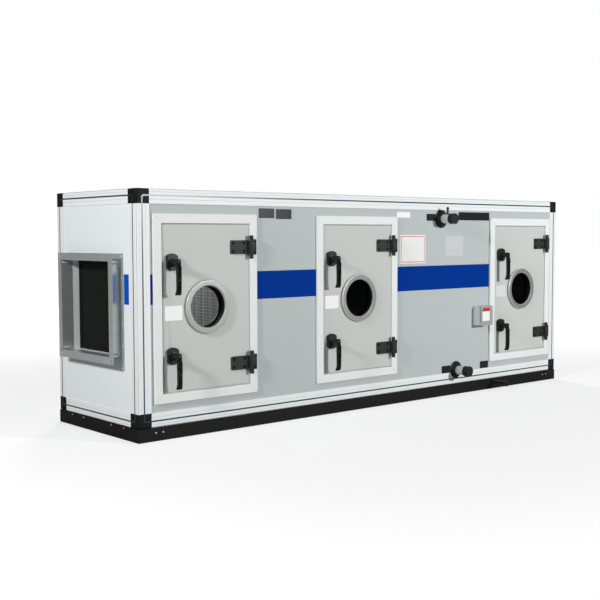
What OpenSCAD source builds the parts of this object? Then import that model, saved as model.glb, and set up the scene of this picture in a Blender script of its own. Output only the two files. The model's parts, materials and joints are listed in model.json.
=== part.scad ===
/* [Cabinet] */
// Length of the cabinet, end face to end face
cab_l = 2520; // [2470:1:2900]
// Depth of the cabinet, front face to back face
cab_w = 600; // [580:1:800]
// Height of the cabinet with its steel base
cab_h = 920; // [905:1:1100]
// Height of the steel base
base_h = 50; // [40:1:60]
// Thickness of the base channel's steel
base_t = 4; // [3:0.5:6]
// Width of the base channel's flanges
base_flange = 40; // [30:1:50]

/* [Aluminium frame] */
// Visible width of a frame profile
face_w = 55; // [53:1:58]
// Thickness of the profile lips that hold the panels
lip_t = 2.5; // [2:0.1:4]
// Wall of the profile's hollow core
profile_wall = 2; // [1.5:0.1:3]
// Rounding of the cabinet's outside edges
edge_r = 8; // [4:0.5:12]
// Length of a corner block's spigot inside a profile
spigot_l = 25; // [15:1:40]
// Clearance round a spigot inside its profile
spigot_gap = 0.4; // [0.3:0.1:1]
// Distance from a cabinet edge to the middle of the blue trim line
trim_in = 25; // [20:0.5:30]
// Width of the blue trim line
trim_w = 6; // [4:0.5:8]
// Depth of the trim line's groove
trim_d = 1.2; // [0.8:0.1:1.6]
// Outer corner radius of the trim line
trim_r = 10; // [8:0.5:14]

/* [Panels] */
// Thickness of the insulated panels
panel_t = 38; // [34:1:40]
// Width of a joint between two panels
joint_gap = 1.5; // [1:0.1:3]
// Height of the blue band's lower edge above the base
band_rise = 450; // [430:1:470]
// Height of the blue band
band_h = 110; // [80:1:130]
// Thickness of the blue band's film
band_t = 0.8; // [0.5:0.1:1.5]

/* [Doors] */
// Outer width of a door frame
frame_w = 475; // [450:1:490]
// Width of the frame's bars as seen from the front
frame_bar = 35; // [30:1:40]
// How far a door frame stands out of the panels
frame_out = 8.5; // [7:0.5:12]
// Thickness of the frame's lining inside the panel opening
throat_t = 15; // [10:1:20]
// Width of the stop behind the leaf's edge
stop_w = 20; // [18:1:24]
// Thickness of the stop
stop_t = 7; // [5:0.5:8]
// Height of a door frame's lower edge above the base
door_rise = 85; // [75:1:90]
// Distance from the cabinet's top down to a door frame
door_drop = 90; // [75:1:95]
// Distance from the left end to the first door frame
door_1_margin = 67; // [60:1:80]
// Distance from the third door frame to the right end
door_3_margin = 65; // [60:1:90]
// Gap between a leaf and its frame
leaf_gap = 4; // [3.5:0.1:6]
// How far the leaf's face lies behind the frame's face
leaf_in = 3.5; // [2:0.1:5]
// Thickness of the leaf's front tray
tray_t = 14; // [12:0.5:16]
// Step from the tray's edge to the leaf's inner body
tray_step = 8; // [6:0.5:12]
// Gap between the leaf's back and the stop
seal_gap = 5.5; // [5:0.1:7]

/* [Portholes] */
// Radius of the porthole's clear opening
port_r = 79; // [70:0.5:82]
// Outer radius of the porthole ring
ring_r = 101; // [97:0.5:108]
// Thickness of the porthole ring
ring_t = 8; // [6:0.5:12]
// Rounding of the ring's outer edge
ring_round = 3; // [2:0.5:5]
// Thickness of the black gasket below the ring
gasket_t = 3; // [2:0.1:4]
// Wall of the black liner inside the leaf
liner_t = 3; // [2:0.5:5]
// Thickness of the pane
glass_t = 6; // [4:0.5:8]
// Width of the ledge that the pane rests on
ledge_w = 5; // [4:0.5:8]
// Thickness of the ring on the leaf's inner side
back_ring_t = 3; // [2:0.5:4]

/* [Hinges] */
// Height of the lower hinges' middle above the frame's lower edge
hinge_low_rise = 122; // [100:1:150]
// Distance from the frame's upper edge down to the upper hinges' middle
hinge_high_drop = 125; // [100:1:150]
// Radius of the hinge barrel
barrel_r = 7.5; // [7:0.5:9]
// Height of the whole barrel
barrel_h = 90; // [84:1:96]
// Radius of the hinge pin
pin_r = 4; // [3:0.1:5]
// Running clearance round a pin or spindle
run_gap = 0.06; // [0.05:0.01:0.1]
// How far the hinge axis stands in front of the frame's face
axis_out = 12; // [12:0.5:14]
// Width of the hinge plate on the leaf
door_plate_w = 84; // [76:1:92]
// Height of the hinge plate on the leaf
door_plate_h = 53; // [48:1:56]
// Width of the hinge plate on the frame
frame_plate_w = 29; // [25:1:31]
// Height of the hinge plate on the frame
frame_plate_h = 60; // [56:1:64]
// Thickness of the hinge plates
plate_t = 5; // [4:0.5:6]

/* [Handles] */
// Distance from the frame's left edge to a handle's spindle
handle_in = 77; // [72:1:84]
// Height of the lower handles' spindle above the frame's lower edge
handle_low_rise = 173; // [165:1:180]
// Distance from the frame's upper edge down to the upper handles' spindle
handle_high_drop = 177; // [165:1:185]
// Radius of a handle's base before its sides are cut flat
rose_r = 31.5; // [28:0.5:34]
// Width of a handle's base across its flat sides
rose_w = 45; // [40:1:50]
// Thickness of a handle's base
rose_t = 14; // [10:0.5:16]
// Distance from the spindle to the lever's end
lever_l = 120; // [100:1:124]
// Width of the lever
lever_w = 18; // [14:0.5:20]
// Depth of the lever
lever_d = 15; // [12:0.5:18]
// Height of the lever's shoulder above the spindle
hub_rise = 12; // [9:0.5:14]
// How far the lever's face stands out of the leaf
lever_out = 58; // [52:1:64]
// Radius of the spindle
spindle_r = 6; // [5:0.5:7]

/* [Water connections] */
// Distance between the two pipes along the cabinet
pipe_pitch = 109; // [105:1:115]
// Distance from the cabinet's top to the upper pipe
pipe_1_drop = 96; // [92:1:110]
// Height of the lower pipe above the base
pipe_2_rise = 65; // [65:1:80]
// Outer radius of a water pipe
pipe_r = 21; // [17:0.5:22]
// Wall of a water pipe
pipe_wall = 3; // [2:0.5:4]
// How far a pipe's capped end stands out of the cabinet
pipe_out = 84; // [76:1:100]
// Outer radius of the rubber rosette
rosette_r = 42; // [40:0.5:44]
// Thickness of the rubber rosette
rosette_t = 17; // [12:0.5:20]
// Length of a pipe cap
cap_l = 27; // [20:1:32]
// Wall of a pipe cap
cap_t = 3; // [2:0.5:4]
// Height of the air vent above the upper pipe's axis
vent_h = 54; // [48:1:60]

/* [Drain] */
// Distance from the third door frame's left edge to the drain
drain_in = 31; // [25:1:40]
// Height of the drain above the floor
drain_z = 34; // [30:0.5:36]
// Radius of the drain pipe
drain_r = 8; // [6:0.5:9]
// Radius of the socket on the drain's end
socket_r = 11; // [10:0.5:13]
// Length of that socket
socket_l = 25; // [20:1:30]
// How far the drain stands out of the base
drain_out = 93; // [80:1:110]
// Height of the drain pan
pan_h = 22; // [18:1:26]
// Wall of the drain pan
pan_t = 2; // [1.5:0.1:3]

/* [Switch box] */
// Width of the switch box
box_w = 88; // [80:1:96]
// Height of the switch box
box_h = 94; // [86:1:102]
// Depth of the switch box
box_d = 45; // [38:1:52]
// Height of the box's lower edge above the base
box_rise = 268; // [240:1:300]
// Distance from the box to the third door frame
box_gap = 26; // [22:1:32]
// Depth of the box's cover
cover_d = 12; // [8:1:16]
// Rounding of the box's upright edges
box_r = 4; // [2:0.5:8]

/* [Duct collars] */
// Distance from the front and back faces to the duct opening
duct_margin = 122; // [115:1:140]
// Height of the duct opening
duct_h = 350; // [320:1:400]
// Height of the duct opening's middle above the base
duct_rise = 432; // [420:1:440]
// Width of the collar's outer flange
flange_w = 28; // [24:1:32]
// How much wider the collar's back flange is below
back_drop = 24; // [10:1:30]
// How far the collar stands out of the cabinet
collar_out = 46; // [36:1:60]
// Thickness of the collar's sheet
collar_t = 2; // [1.5:0.1:3]
// Distance from the collar's bolt holes to the flange's edge
bolt_in = 13; // [12:0.5:14]
// Radius of the collar's bolt holes
bolt_r = 4.5; // [3.5:0.5:5.5]

/* [Filters] */
// Depth of the black inlet filter behind the end face
mesh_in = 29; // [26:0.5:29]
// Thickness of the inlet filter
mesh_t = 10; // [6:0.5:10]
// Width of the inlet filter's frame
mesh_bar = 12; // [8:1:20]
// Distance from the first door frame's right edge back to the filter bank
bank_back = 50; // [45:1:54]
// Depth of the filter bank
bank_d = 50; // [40:1:60]
// Width of the filter bank's frame
bank_bar = 28; // [20:1:40]
// Spacing of the filter's pleats
pleat_pitch = 45; // [35:1:60]
// Thickness of the pleated sheet
pleat_t = 3; // [2:0.5:4]

/* [Coil] */
// How far the coil reaches past the pipe centres
coil_margin = 28; // [24:1:32]
// Thickness of the coil's sheet casing
casing_t = 3; // [2:0.5:4]
// Distance from the front panel to the headers' middle
header_in = 38; // [36:1:44]
// Gap between a header and the coil's end plate
header_gap = 10; // [8:1:14]
// Radius of a feeder tube
feeder_r = 5; // [4:0.5:6]
// Number of feeder tubes on a header
feeders = 6; // [4:1:8]

/* [Fan] */
// Distance from the third door frame's left edge to the fan wall
fan_wall_in = 78; // [70:1:90]
// Thickness of the fan wall
fan_wall_t = 3; // [2:0.5:4]
// Outer radius of the fan wheel
wheel_r = 195; // [170:1:205]
// Radius of the wheel's eye
eye_r = 125; // [110:1:135]
// Number of the wheel's blades
blades = 7; // [6:1:9]
// Width of the blades at the wheel's rim
blade_w = 70; // [60:1:80]
// Thickness of the wheel's sheet
wheel_t = 3; // [2:0.5:4]
// Radius of the motor
motor_r = 78; // [70:1:85]
// Length of the motor
motor_l = 200; // [180:1:210]

/* [Hidden] */
$fn = 64;

// One overrun serves all cuts
cut = 1;

// Depths from the cabinet's front face, where less than zero is outside
core_w = lip_t + panel_t;
frame_front = lip_t - frame_out;
leaf_front = frame_front + leaf_in;
stop_front = core_w - stop_t;
leaf_back = stop_front - seal_gap;

// Inside of the cabinet, from the left end, the front face and the floor
in_x1 = cab_l - core_w;
in_y1 = cab_w - core_w;
in_z0 = base_h + core_w;
in_z1 = cab_h - core_w;
in_w = in_y1 - core_w;
in_h = in_z1 - in_z0;

// Door places, from the left end and the floor
door_z = base_h + door_rise;
frame_h = cab_h - door_z - door_drop;
// Share of the panel width between the door frames that lies before the second door
door_2_share = 0.3276;
door_2_gap = (cab_l - door_1_margin - door_3_margin - 3 * frame_w) * door_2_share;
door_xs = [
    door_1_margin,
    door_1_margin + frame_w + door_2_gap,
    cab_l - door_3_margin - frame_w
];
// The opening in the panels, which the frame's lining fills
hole_in = frame_bar - throat_t;
hole_w = frame_w - hole_in - hole_in;
hole_h = frame_h - hole_in - hole_in;
leaf_in_x = frame_bar + leaf_gap;
leaf_w = frame_w - leaf_in_x - leaf_in_x;
leaf_h = frame_h - leaf_in_x - leaf_in_x;
port_x = frame_w / 2;
port_z = frame_h / 2;
// Chamfer of the porthole ring's inner edge
ring_bevel = 3;
// Left and right edges of the panels beside the doors
panel_edges = [
    [core_w, door_xs[0] + hole_in],
    [door_xs[0] + hole_in + hole_w, door_xs[1] + hole_in],
    [door_xs[1] + hole_in + hole_w, door_xs[2] - joint_gap - joint_gap],
    [door_xs[2] - joint_gap, door_xs[2] + hole_in],
    [door_xs[2] + hole_in + hole_w, in_x1]
];

// Hinge axis, from the frame's left edge and the cabinet's front face
hinge_x = frame_w - frame_bar - leaf_gap / 2;
hinge_y = frame_front - axis_out;
hinge_high_rise = frame_h - hinge_high_drop;
// Gap between the knuckles of the two hinge halves
knuckle_gap = 0.7;
// Gap round the middle knuckle beside the frame's hinge plate
knuckle_side = 1.5;
// How far a plate's upper and lower arms are chamfered
arm_slope = 8;

// Handle places, above the frame's lower edge and out of the leaf
handle_high_rise = frame_h - handle_high_drop;
rose_front = leaf_front - rose_t;
lever_front = leaf_front - lever_out;
// Gap between a handle's neck and its base
neck_gap = 0.4;
neck_r = 10;
// Drop of the lever's end towards the leaf
lever_kick = 8;
// How far the shoulder lies behind the grip's face, and its chamfer
hub_in = 4;
hub_bevel = 4;
// Gap between the leaf's back and the cam
cam_gap = 1;
cam_t = 4;
cam_l = 30;
// Clearance hole for a spindle in the leaf
spindle_hole_r = 9;

// Switch box
box_x = door_xs[2] - box_gap - box_w;
box_z = base_h + box_rise;
cover_gap = 0.4;

// Water pipe places: the room beside the rosettes, and its share before the upper one
pipe_room = box_x - door_xs[1] - frame_w - pipe_pitch - rosette_r - rosette_r;
pipe_1_share = 0.7448;
pipe_1_x = door_xs[1] + frame_w + pipe_room * pipe_1_share + rosette_r;
pipe_2_x = pipe_1_x + pipe_pitch;
pipe_1_z = cab_h - pipe_1_drop;
pipe_2_z = base_h + pipe_2_rise;
// Clearance round a pipe in a panel, and in its rosette and cap
pipe_hole_gap = 0.5;
snug_gap = 0.3;
// Radius of the rosette's collar at its front
rosette_nose = 6;
header_y = core_w + header_in;
header_z0 = in_z0 + pipe_hole_gap + snug_gap + cut;
header_z1 = in_z1 - header_gap;
coil_y0 = header_y + pipe_r + header_gap;
coil_x0 = pipe_1_x - coil_margin;
coil_x1 = pipe_2_x + coil_margin;
coil_d = coil_x1 - coil_x0;
// Recess of the fin pack behind the casing's edge
fin_in = 6;

// Drain and pan
drain_x = door_xs[2] + drain_in;
drain_y = coil_y0 + socket_l;
pan_x0 = coil_x0 - header_gap;
pan_x1 = door_xs[2] + fan_wall_in - header_gap;

// Duct collars
duct_w = cab_w - duct_margin - duct_margin;
duct_y = cab_w / 2;
duct_z = base_h + duct_rise;

// Filter bank
bank_x = door_xs[0] + frame_w - bank_back;

// Blue band
band_z = base_h + band_rise;

// Fan places
fan_x = door_xs[2] + fan_wall_in;
fan_y = cab_w / 2;
fan_z = (in_z0 + in_z1) / 2;
// Running gap between the inlet cone and the wheel's eye
eye_gap = 5;
cone_l = 40;
cone_flare = 24;
// Where the wheel starts, past the fan wall
wheel_x = fan_x + fan_wall_t + cone_l - wheel_t;
// Slope of the wheel's front plate
shroud_d = 30;
hub_l = 30;
wheel_hub_r = 30;
shaft_r = 12;
// Gap between the wheel and the motor's face
motor_gap = 3;
blade_curve_share = 0.62;
// Motor stand
stand_t = 6;
stand_w = 160;
foot_w = 40;
terminal_w = 70;
terminal_h = 45;

// Frame in which the left end, the front face and the floor are zero
module place() {
    translate([-cab_l / 2, -cab_w / 2, 0]) children();
}

// Children at the two ends of the cabinet, the right one mirrored
module both_ends() {
    children();
    translate([cab_l, 0, 0]) mirror([1, 0, 0]) children();
}

// Children at the front and, mirrored, at the back
module front_and_back() {
    children();
    translate([0, cab_w, 0]) mirror([0, 1, 0]) children();
}

// Children above the base and, mirrored, below the top
module low_and_high() {
    children();
    translate([0, 0, cab_h + base_h]) mirror([0, 0, 1]) children();
}

module rounded_rect(w, h, r) {
    translate([r, 0]) square([w - r - r, h]);
    translate([0, r]) square([w, h - r - r]);
    for (x = [r, w - r], y = [r, h - r]) translate([x, y]) circle(r);
}

// A cylinder along Y from y0 outwards to y1, where y1 is less
module y_rod(r, y0, y1) {
    translate([0, y0, 0]) rotate([90, 0, 0]) cylinder(r = r, h = y0 - y1);
}

// What is left of a square when its outer corner is rounded
module corner_round(size) {
    difference() {
        square(size);
        difference() {
            translate([-cut, -cut]) square(edge_r + cut);
            translate([edge_r, edge_r]) circle(edge_r);
        }
    }
}

// Cross-section of the frame profile, its outside corner at the origin
module profile_section() {
    difference() {
        intersection() {
            union() {
                square(core_w);
                square([face_w, lip_t]);
                square([lip_t, face_w]);
            }
            corner_round(face_w);
        }
        translate([profile_wall, profile_wall]) square(core_w - profile_wall - profile_wall);
    }
}

// The trim line on one face, as a closed loop w long and h high
module trim_loop(w, h) {
    edge = trim_in - trim_w / 2;
    loop_w = w - edge - edge;
    loop_h = h - edge - edge;
    translate([edge, edge]) difference() {
        rounded_rect(loop_w, loop_h, trim_r);
        translate([trim_w, trim_w])
            rounded_rect(loop_w - trim_w - trim_w, loop_h - trim_w - trim_w, trim_r - trim_w);
    }
}

// All trim loops: front and back, the two ends and the top
module trim_loops() {
    box_h0 = cab_h - base_h;
    front_and_back() translate([0, trim_d, base_h])
        rotate([90, 0, 0]) linear_extrude(trim_d) trim_loop(cab_l, box_h0);
    both_ends() translate([0, 0, base_h])
        rotate([90, 0, 90]) linear_extrude(trim_d) trim_loop(cab_w, box_h0);
    translate([0, 0, cab_h - trim_d]) linear_extrude(trim_d) trim_loop(cab_l, cab_w);
}

module base_rails() {
    color([0.1, 0.1, 0.1]) place() difference() {
        front_and_back() translate([base_t, 0, 0]) difference() {
            cube([cab_l - base_t - base_t, base_flange, base_h]);
            translate([-cut, base_t, base_t])
                cube([cab_l + cut, base_flange, base_h - base_t - base_t]);
        }
        translate([drain_x, 0, drain_z]) y_rod(drain_r + snug_gap, base_t + cut, -cut);
    }
}

// One channel across the base between the two rails, its web on the side of x0
module cross_member(x0) {
    translate([x0, base_flange, 0]) difference() {
        cube([base_flange, cab_w - base_flange - base_flange, base_h]);
        translate([base_t, -cut, base_t])
            cube([base_flange, cab_w, base_h - base_t - base_t]);
    }
}

module base_cross_members() {
    color([0.1, 0.1, 0.1]) place() {
        both_ends() {
            cross_member(0);
            cube([base_t, cab_w, base_h]);
        }
        cross_member((cab_l - base_flange) / 2);
    }
}

module corner_posts() {
    color([0.9, 0.9, 0.9]) place() difference() {
        both_ends() front_and_back() translate([0, 0, base_h + face_w])
            linear_extrude(cab_h - base_h - face_w - face_w) profile_section();
        trim_loops();
    }
}

module long_rails() {
    color([0.9, 0.9, 0.9]) place() difference() {
        front_and_back() low_and_high() translate([face_w, 0, base_h])
            rotate([90, 0, 90]) linear_extrude(cab_l - face_w - face_w) profile_section();
        trim_loops();
        pipe_cuts();
    }
}

module end_rails() {
    color([0.9, 0.9, 0.9]) place() difference() {
        both_ends() low_and_high() translate([0, cab_w - face_w, base_h])
            rotate([90, 0, 0]) linear_extrude(cab_w - face_w - face_w) profile_section();
        trim_loops();
    }
}

// One corner block: three flush plates, a solid core and a spigot into each profile
module corner_block() {
    spigot_w = core_w - profile_wall - profile_wall - spigot_gap - spigot_gap;
    spigot_0 = profile_wall + spigot_gap;
    reach = face_w + spigot_l;
    intersection() {
        union() {
            for (size = [[face_w, face_w, lip_t], [face_w, lip_t, face_w], [lip_t, face_w, face_w]])
                cube(size);
            for (size = [[face_w, core_w, core_w], [core_w, face_w, core_w], [core_w, core_w, face_w]])
                cube(size);
            translate([core_w, spigot_0, spigot_0]) cube([reach - core_w, spigot_w, spigot_w]);
            translate([spigot_0, core_w, spigot_0]) cube([spigot_w, reach - core_w, spigot_w]);
            translate([spigot_0, spigot_0, core_w]) cube([spigot_w, spigot_w, reach - core_w]);
        }
        linear_extrude(reach) corner_round(reach);
        translate([0, reach, 0]) rotate([90, 0, 0]) linear_extrude(reach) corner_round(reach);
        rotate([90, 0, 90]) linear_extrude(reach) corner_round(reach);
    }
}

module corner_blocks() {
    color([0.1, 0.1, 0.1]) place() difference() {
        both_ends() front_and_back() low_and_high() translate([0, 0, base_h]) corner_block();
        trim_loops();
    }
}

module trim_lines() {
    color([0.2, 0.4, 0.6]) place() trim_loops();
}

// Way of the two water pipes through the front
module pipe_cuts() {
    for (pipe = [[pipe_1_x, pipe_1_z], [pipe_2_x, pipe_2_z]])
        translate([pipe[0], 0, pipe[1]]) y_rod(pipe_r + pipe_hole_gap, core_w + cut, -cut);
}

module floor_panel() {
    color([0.75, 0.77, 0.78]) place() difference() {
        translate([core_w, core_w, base_h + lip_t]) cube([in_x1 - core_w, in_w, panel_t]);
        translate([drain_x, drain_y, base_h]) cylinder(r = drain_r + snug_gap, h = core_w + cut);
    }
}

module top_panel() {
    color([0.85, 0.86, 0.87]) place()
        translate([core_w, core_w, in_z1]) cube([in_x1 - core_w, in_w, panel_t]);
}

module back_panels() {
    joints = [
        core_w,
        round(door_xs[0] + frame_w + door_2_gap / 2),
        round(door_xs[1] + frame_w + door_2_gap / 2),
        in_x1 + joint_gap
    ];
    color([0.85, 0.86, 0.87]) place() for (i = [0 : 2])
        translate([joints[i], in_y1, in_z0])
            cube([joints[i + 1] - joints[i] - joint_gap, panel_t, in_h]);
}

// Way of the air through an end
module duct_cut() {
    translate([-cut, duct_y - duct_w / 2, duct_z - duct_h / 2])
        cube([core_w + cut + cut, duct_w, duct_h]);
}

module end_panel() {
    difference() {
        translate([lip_t, core_w, in_z0]) cube([panel_t, in_w, in_h]);
        duct_cut();
    }
}

module left_end_panel() {
    color([0.85, 0.86, 0.87]) place() end_panel();
}

module right_end_panel() {
    color([0.85, 0.86, 0.87]) place() translate([cab_l, 0, 0]) mirror([1, 0, 0]) end_panel();
}

module front_panels() {
    color([0.7, 0.72, 0.73]) place() difference() {
        for (edge = panel_edges)
            translate([edge[0], lip_t, in_z0]) cube([edge[1] - edge[0], panel_t, in_h]);
        pipe_cuts();
    }
}

// The panels over and under each door
module front_panels_at_doors() {
    head_z = door_z + hole_in + hole_h;
    color([0.7, 0.72, 0.73]) place() for (x = door_xs) {
        translate([x + hole_in, lip_t, in_z0]) cube([hole_w, panel_t, door_z + hole_in - in_z0]);
        translate([x + hole_in, lip_t, head_z]) cube([hole_w, panel_t, in_z1 - head_z]);
    }
}

// The film stripe on the panels, cut out round the doors and the duct collars
module blue_band() {
    bare_y0 = duct_y - duct_w / 2 - flange_w - collar_t - snug_gap;
    bare_y1 = cab_w - bare_y0;
    color([0.05, 0.25, 0.65]) place() {
        for (span = [
            [face_w, door_xs[0]],
            [door_xs[0] + frame_w, door_xs[1]],
            [door_xs[1] + frame_w, door_xs[2] - joint_gap - joint_gap],
            [door_xs[2] + frame_w, cab_l - face_w]
        ])
            translate([span[0], lip_t - band_t, band_z]) cube([span[1] - span[0], band_t, band_h]);
        translate([face_w, cab_w - lip_t, band_z]) cube([cab_l - face_w - face_w, band_t, band_h]);
        both_ends() for (span = [[face_w, bare_y0], [bare_y1, cab_w - face_w]])
            translate([lip_t - band_t, span[0], band_z]) cube([band_t, span[1] - span[0], band_h]);
    }
}

// A rectangular ring in the door's plane, w wide and h high round an opening inset by bar
module ring_bar(w, h, bar, y0, y1) {
    translate([0, y1, 0]) rotate([90, 0, 0]) linear_extrude(y1 - y0) difference() {
        square([w, h]);
        translate([bar, bar]) square([w - bar - bar, h - bar - bar]);
    }
}

// Children in the frame of door number i
module at_door(i) {
    translate([door_xs[i], 0, door_z]) children();
}

module door_frame(i) {
    color([0.93, 0.94, 0.94]) place() at_door(i) {
        ring_bar(frame_w, frame_h, frame_bar, frame_front, lip_t);
        translate([hole_in, 0, hole_in]) {
            ring_bar(hole_w, hole_h, throat_t, frame_front, core_w);
            ring_bar(hole_w, hole_h, throat_t + stop_w, stop_front, core_w);
        }
    }
}

module door_leaf(i) {
    color([0.77, 0.79, 0.77]) place() at_door(i) difference() {
        union() {
            translate([leaf_in_x, leaf_front, leaf_in_x]) cube([leaf_w, tray_t, leaf_h]);
            translate([leaf_in_x + tray_step, leaf_front, leaf_in_x + tray_step])
                cube([leaf_w - tray_step - tray_step, leaf_back - leaf_front,
                      leaf_h - tray_step - tray_step]);
        }
        translate([port_x, 0, port_z])
            y_rod(port_r + liner_t + snug_gap, leaf_back + cut, leaf_front - cut);
        for (z = [handle_low_rise, handle_high_rise])
            translate([handle_in, 0, z]) y_rod(spindle_hole_r, leaf_back + cut, leaf_front - cut);
    }
}

// Children on the porthole's axis, which points out of the leaf along +Z from the leaf's face
module at_port(i) {
    at_door(i) translate([port_x, leaf_front, port_z]) rotate([90, 0, 0]) children();
}

module porthole_ring(i) {
    leaf_t = leaf_back - leaf_front;
    back_ring_r = (port_r + ring_r) / 2;
    face_z = gasket_t + ring_t;
    color([0.66, 0.68, 0.66]) place() at_port(i) {
        rotate_extrude() difference() {
            translate([port_r, gasket_t]) square([ring_r - port_r, ring_t]);
            translate([ring_r - ring_round, face_z - ring_round]) difference() {
                square(ring_round + cut);
                circle(ring_round);
            }
            polygon([
                [port_r - cut, face_z - ring_bevel - cut],
                [port_r + ring_bevel + cut, face_z + cut],
                [port_r - cut, face_z + cut]
            ]);
        }
        rotate_extrude() translate([port_r - ledge_w, -leaf_t - back_ring_t])
            square([back_ring_r - port_r + ledge_w, back_ring_t]);
    }
}

module porthole_liner(i) {
    leaf_t = leaf_back - leaf_front;
    glass_z = -leaf_t / 2 - glass_t;
    color([0.08, 0.08, 0.08]) place() at_port(i) rotate_extrude() {
        translate([port_r, -leaf_t]) square([liner_t, leaf_t + gasket_t]);
        translate([port_r, 0]) square([ring_r - port_r - gasket_t, gasket_t]);
        translate([port_r - ledge_w, -leaf_t]) square([ledge_w + liner_t, leaf_t + glass_z]);
    }
}

module porthole_glass(i) {
    leaf_t = leaf_back - leaf_front;
    color([0.6, 0.7, 0.75, 0.4]) place() at_port(i)
        translate([0, 0, -leaf_t / 2 - glass_t]) cylinder(r = port_r - snug_gap, h = glass_t);
}

// Children at both hinges of door number i, with the axis at the origin
module at_hinges(i) {
    at_door(i) for (z = [hinge_low_rise, hinge_high_rise])
        translate([hinge_x, hinge_y, z]) children();
}

module hinge_plates(i) {
    plate_out = leaf_front - hinge_y - plate_t;
    web_x = barrel_r - knuckle_gap;
    color([0.1, 0.1, 0.1]) place() at_hinges(i) difference() {
        union() {
            translate([0, 0, -door_plate_h / 2]) cylinder(r = barrel_r, h = door_plate_h);
            translate([-web_x, 0, -door_plate_h / 2])
                cube([web_x - cut, plate_out + plate_t - cut, door_plate_h]);
            translate([-web_x + cut - door_plate_w, plate_out, -door_plate_h / 2])
                cube([door_plate_w, plate_t, door_plate_h]);
            for (z = [-door_plate_h / 2, -plate_t / 2, door_plate_h / 2 - plate_t])
                translate([0, 0, z]) linear_extrude(plate_t) polygon([
                    [-barrel_r / 2, -barrel_r / 2],
                    [-door_plate_w / 3, plate_out],
                    [-barrel_r / 2, plate_out]
                ]);
        }
        translate([0, 0, -barrel_h]) cylinder(r = pin_r + run_gap, h = barrel_h + barrel_h);
    }
}

module frame_hinges() {
    knuckle_z = door_plate_h / 2 + knuckle_gap;
    plate_y = axis_out - plate_t;
    plate_x0 = leaf_gap / 2;
    plate_x1 = plate_x0 + frame_plate_w;
    color([0.1, 0.1, 0.1]) place() for (i = [0 : 2]) at_hinges(i) {
        translate([0, 0, -barrel_h / 2]) cylinder(r = pin_r, h = barrel_h);
        for (side = [0, 1]) mirror([0, 0, side]) {
            translate([0, 0, knuckle_z]) cylinder(r = barrel_r, h = (barrel_h / 2 - knuckle_z) * 2 / 3);
            translate([0, 0, knuckle_z])
                cylinder(r1 = barrel_r - cut, r2 = barrel_r - cut - cut, h = barrel_h / 2 - knuckle_z);
            translate([0, 0, knuckle_z])
                cube([barrel_r, axis_out, frame_plate_h / 2 + arm_slope - knuckle_z]);
        }
        translate([0, axis_out, 0]) rotate([90, 0, 0]) linear_extrude(plate_t) difference() {
            polygon([
                [plate_x0, -frame_plate_h / 2 - arm_slope],
                [barrel_r, -frame_plate_h / 2 - arm_slope],
                [barrel_r + arm_slope, -frame_plate_h / 2],
                [plate_x1, -frame_plate_h / 2],
                [plate_x1, frame_plate_h / 2],
                [barrel_r + arm_slope, frame_plate_h / 2],
                [barrel_r, frame_plate_h / 2 + arm_slope],
                [plate_x0, frame_plate_h / 2 + arm_slope]
            ]);
            translate([-barrel_r, -knuckle_z]) square([barrel_r + barrel_r + knuckle_side, knuckle_z * 2]);
        }
    }
}

// Children at a handle's spindle, its height given above the frame's lower edge
module at_handle(i, rise) {
    at_door(i) translate([handle_in, 0, rise]) children();
}

module handle_bases(i) {
    color([0.1, 0.1, 0.1]) place() for (rise = [handle_low_rise, handle_high_rise]) at_handle(i, rise)
        difference() {
            intersection() {
                y_rod(rose_r, leaf_front, rose_front);
                translate([-rose_w / 2, rose_front - cut, -rose_r])
                    cube([rose_w, rose_t + cut + cut, rose_r + rose_r]);
            }
            y_rod(spindle_r + run_gap, leaf_front + cut, rose_front - cut);
        }
}

// Side of the lever: y is the depth and the lever hangs down from the spindle
module lever_side() {
    back = lever_front + lever_d;
    shoulder = lever_front + hub_in;
    polygon([
        [back + hub_in, hub_rise],
        [shoulder + hub_bevel, hub_rise],
        [shoulder, hub_rise - hub_bevel],
        [shoulder, -hub_rise],
        [lever_front, -hub_rise - hub_in],
        [lever_front, -lever_l * 2 / 3],
        [lever_front + lever_kick, -lever_l],
        [back + lever_kick - cut, -lever_l + cut],
        [back, -lever_l * 2 / 3],
        [back, -hub_rise - hub_in],
        [back + hub_in, -hub_rise]
    ]);
}

module handle(i, rise) {
    cam_y = leaf_back + cam_gap + cam_t;
    neck_y = lever_front + lever_d;
    color([0.1, 0.1, 0.1]) place() at_handle(i, rise) {
        y_rod(spindle_r, cam_y, neck_y);
        y_rod(neck_r, rose_front - neck_gap, neck_y - cut);
        translate([-lever_w / 2, 0, 0]) rotate([90, 0, 90]) linear_extrude(lever_w) lever_side();
        translate([-spindle_hole_r, leaf_back + cam_gap, -spindle_hole_r])
            cube([spindle_hole_r + cam_l, cam_t, spindle_hole_r + spindle_hole_r]);
    }
}

// One header with its stub out of the front at height stub_z and its feeders to the coil
module water_pipe(x, stub_z) {
    feeder_step = (header_z1 - header_z0) / (feeders + 1);
    translate([x, 0, 0]) difference() {
        union() {
            translate([0, header_y, header_z0]) cylinder(r = pipe_r, h = header_z1 - header_z0);
            translate([0, 0, stub_z]) y_rod(pipe_r, header_y, -pipe_out + cap_t + snug_gap);
            for (k = [1 : feeders])
                translate([0, 0, header_z0 + k * feeder_step]) y_rod(feeder_r, coil_y0, header_y);
        }
        translate([0, 0, stub_z]) y_rod(pipe_r - pipe_wall, header_y, -pipe_out);
    }
}

module water_pipes() {
    color([0.7, 0.72, 0.72]) place() {
        water_pipe(pipe_1_x, pipe_1_z);
        water_pipe(pipe_2_x, pipe_2_z);
    }
}

module pipe_rosette() {
    inner = pipe_r + snug_gap;
    rotate([90, 0, 0]) rotate_extrude() difference() {
        translate([inner, 0]) square([rosette_r - inner, rosette_t]);
        translate([rosette_r, rosette_t]) circle(rosette_r - inner - rosette_nose);
    }
}

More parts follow.
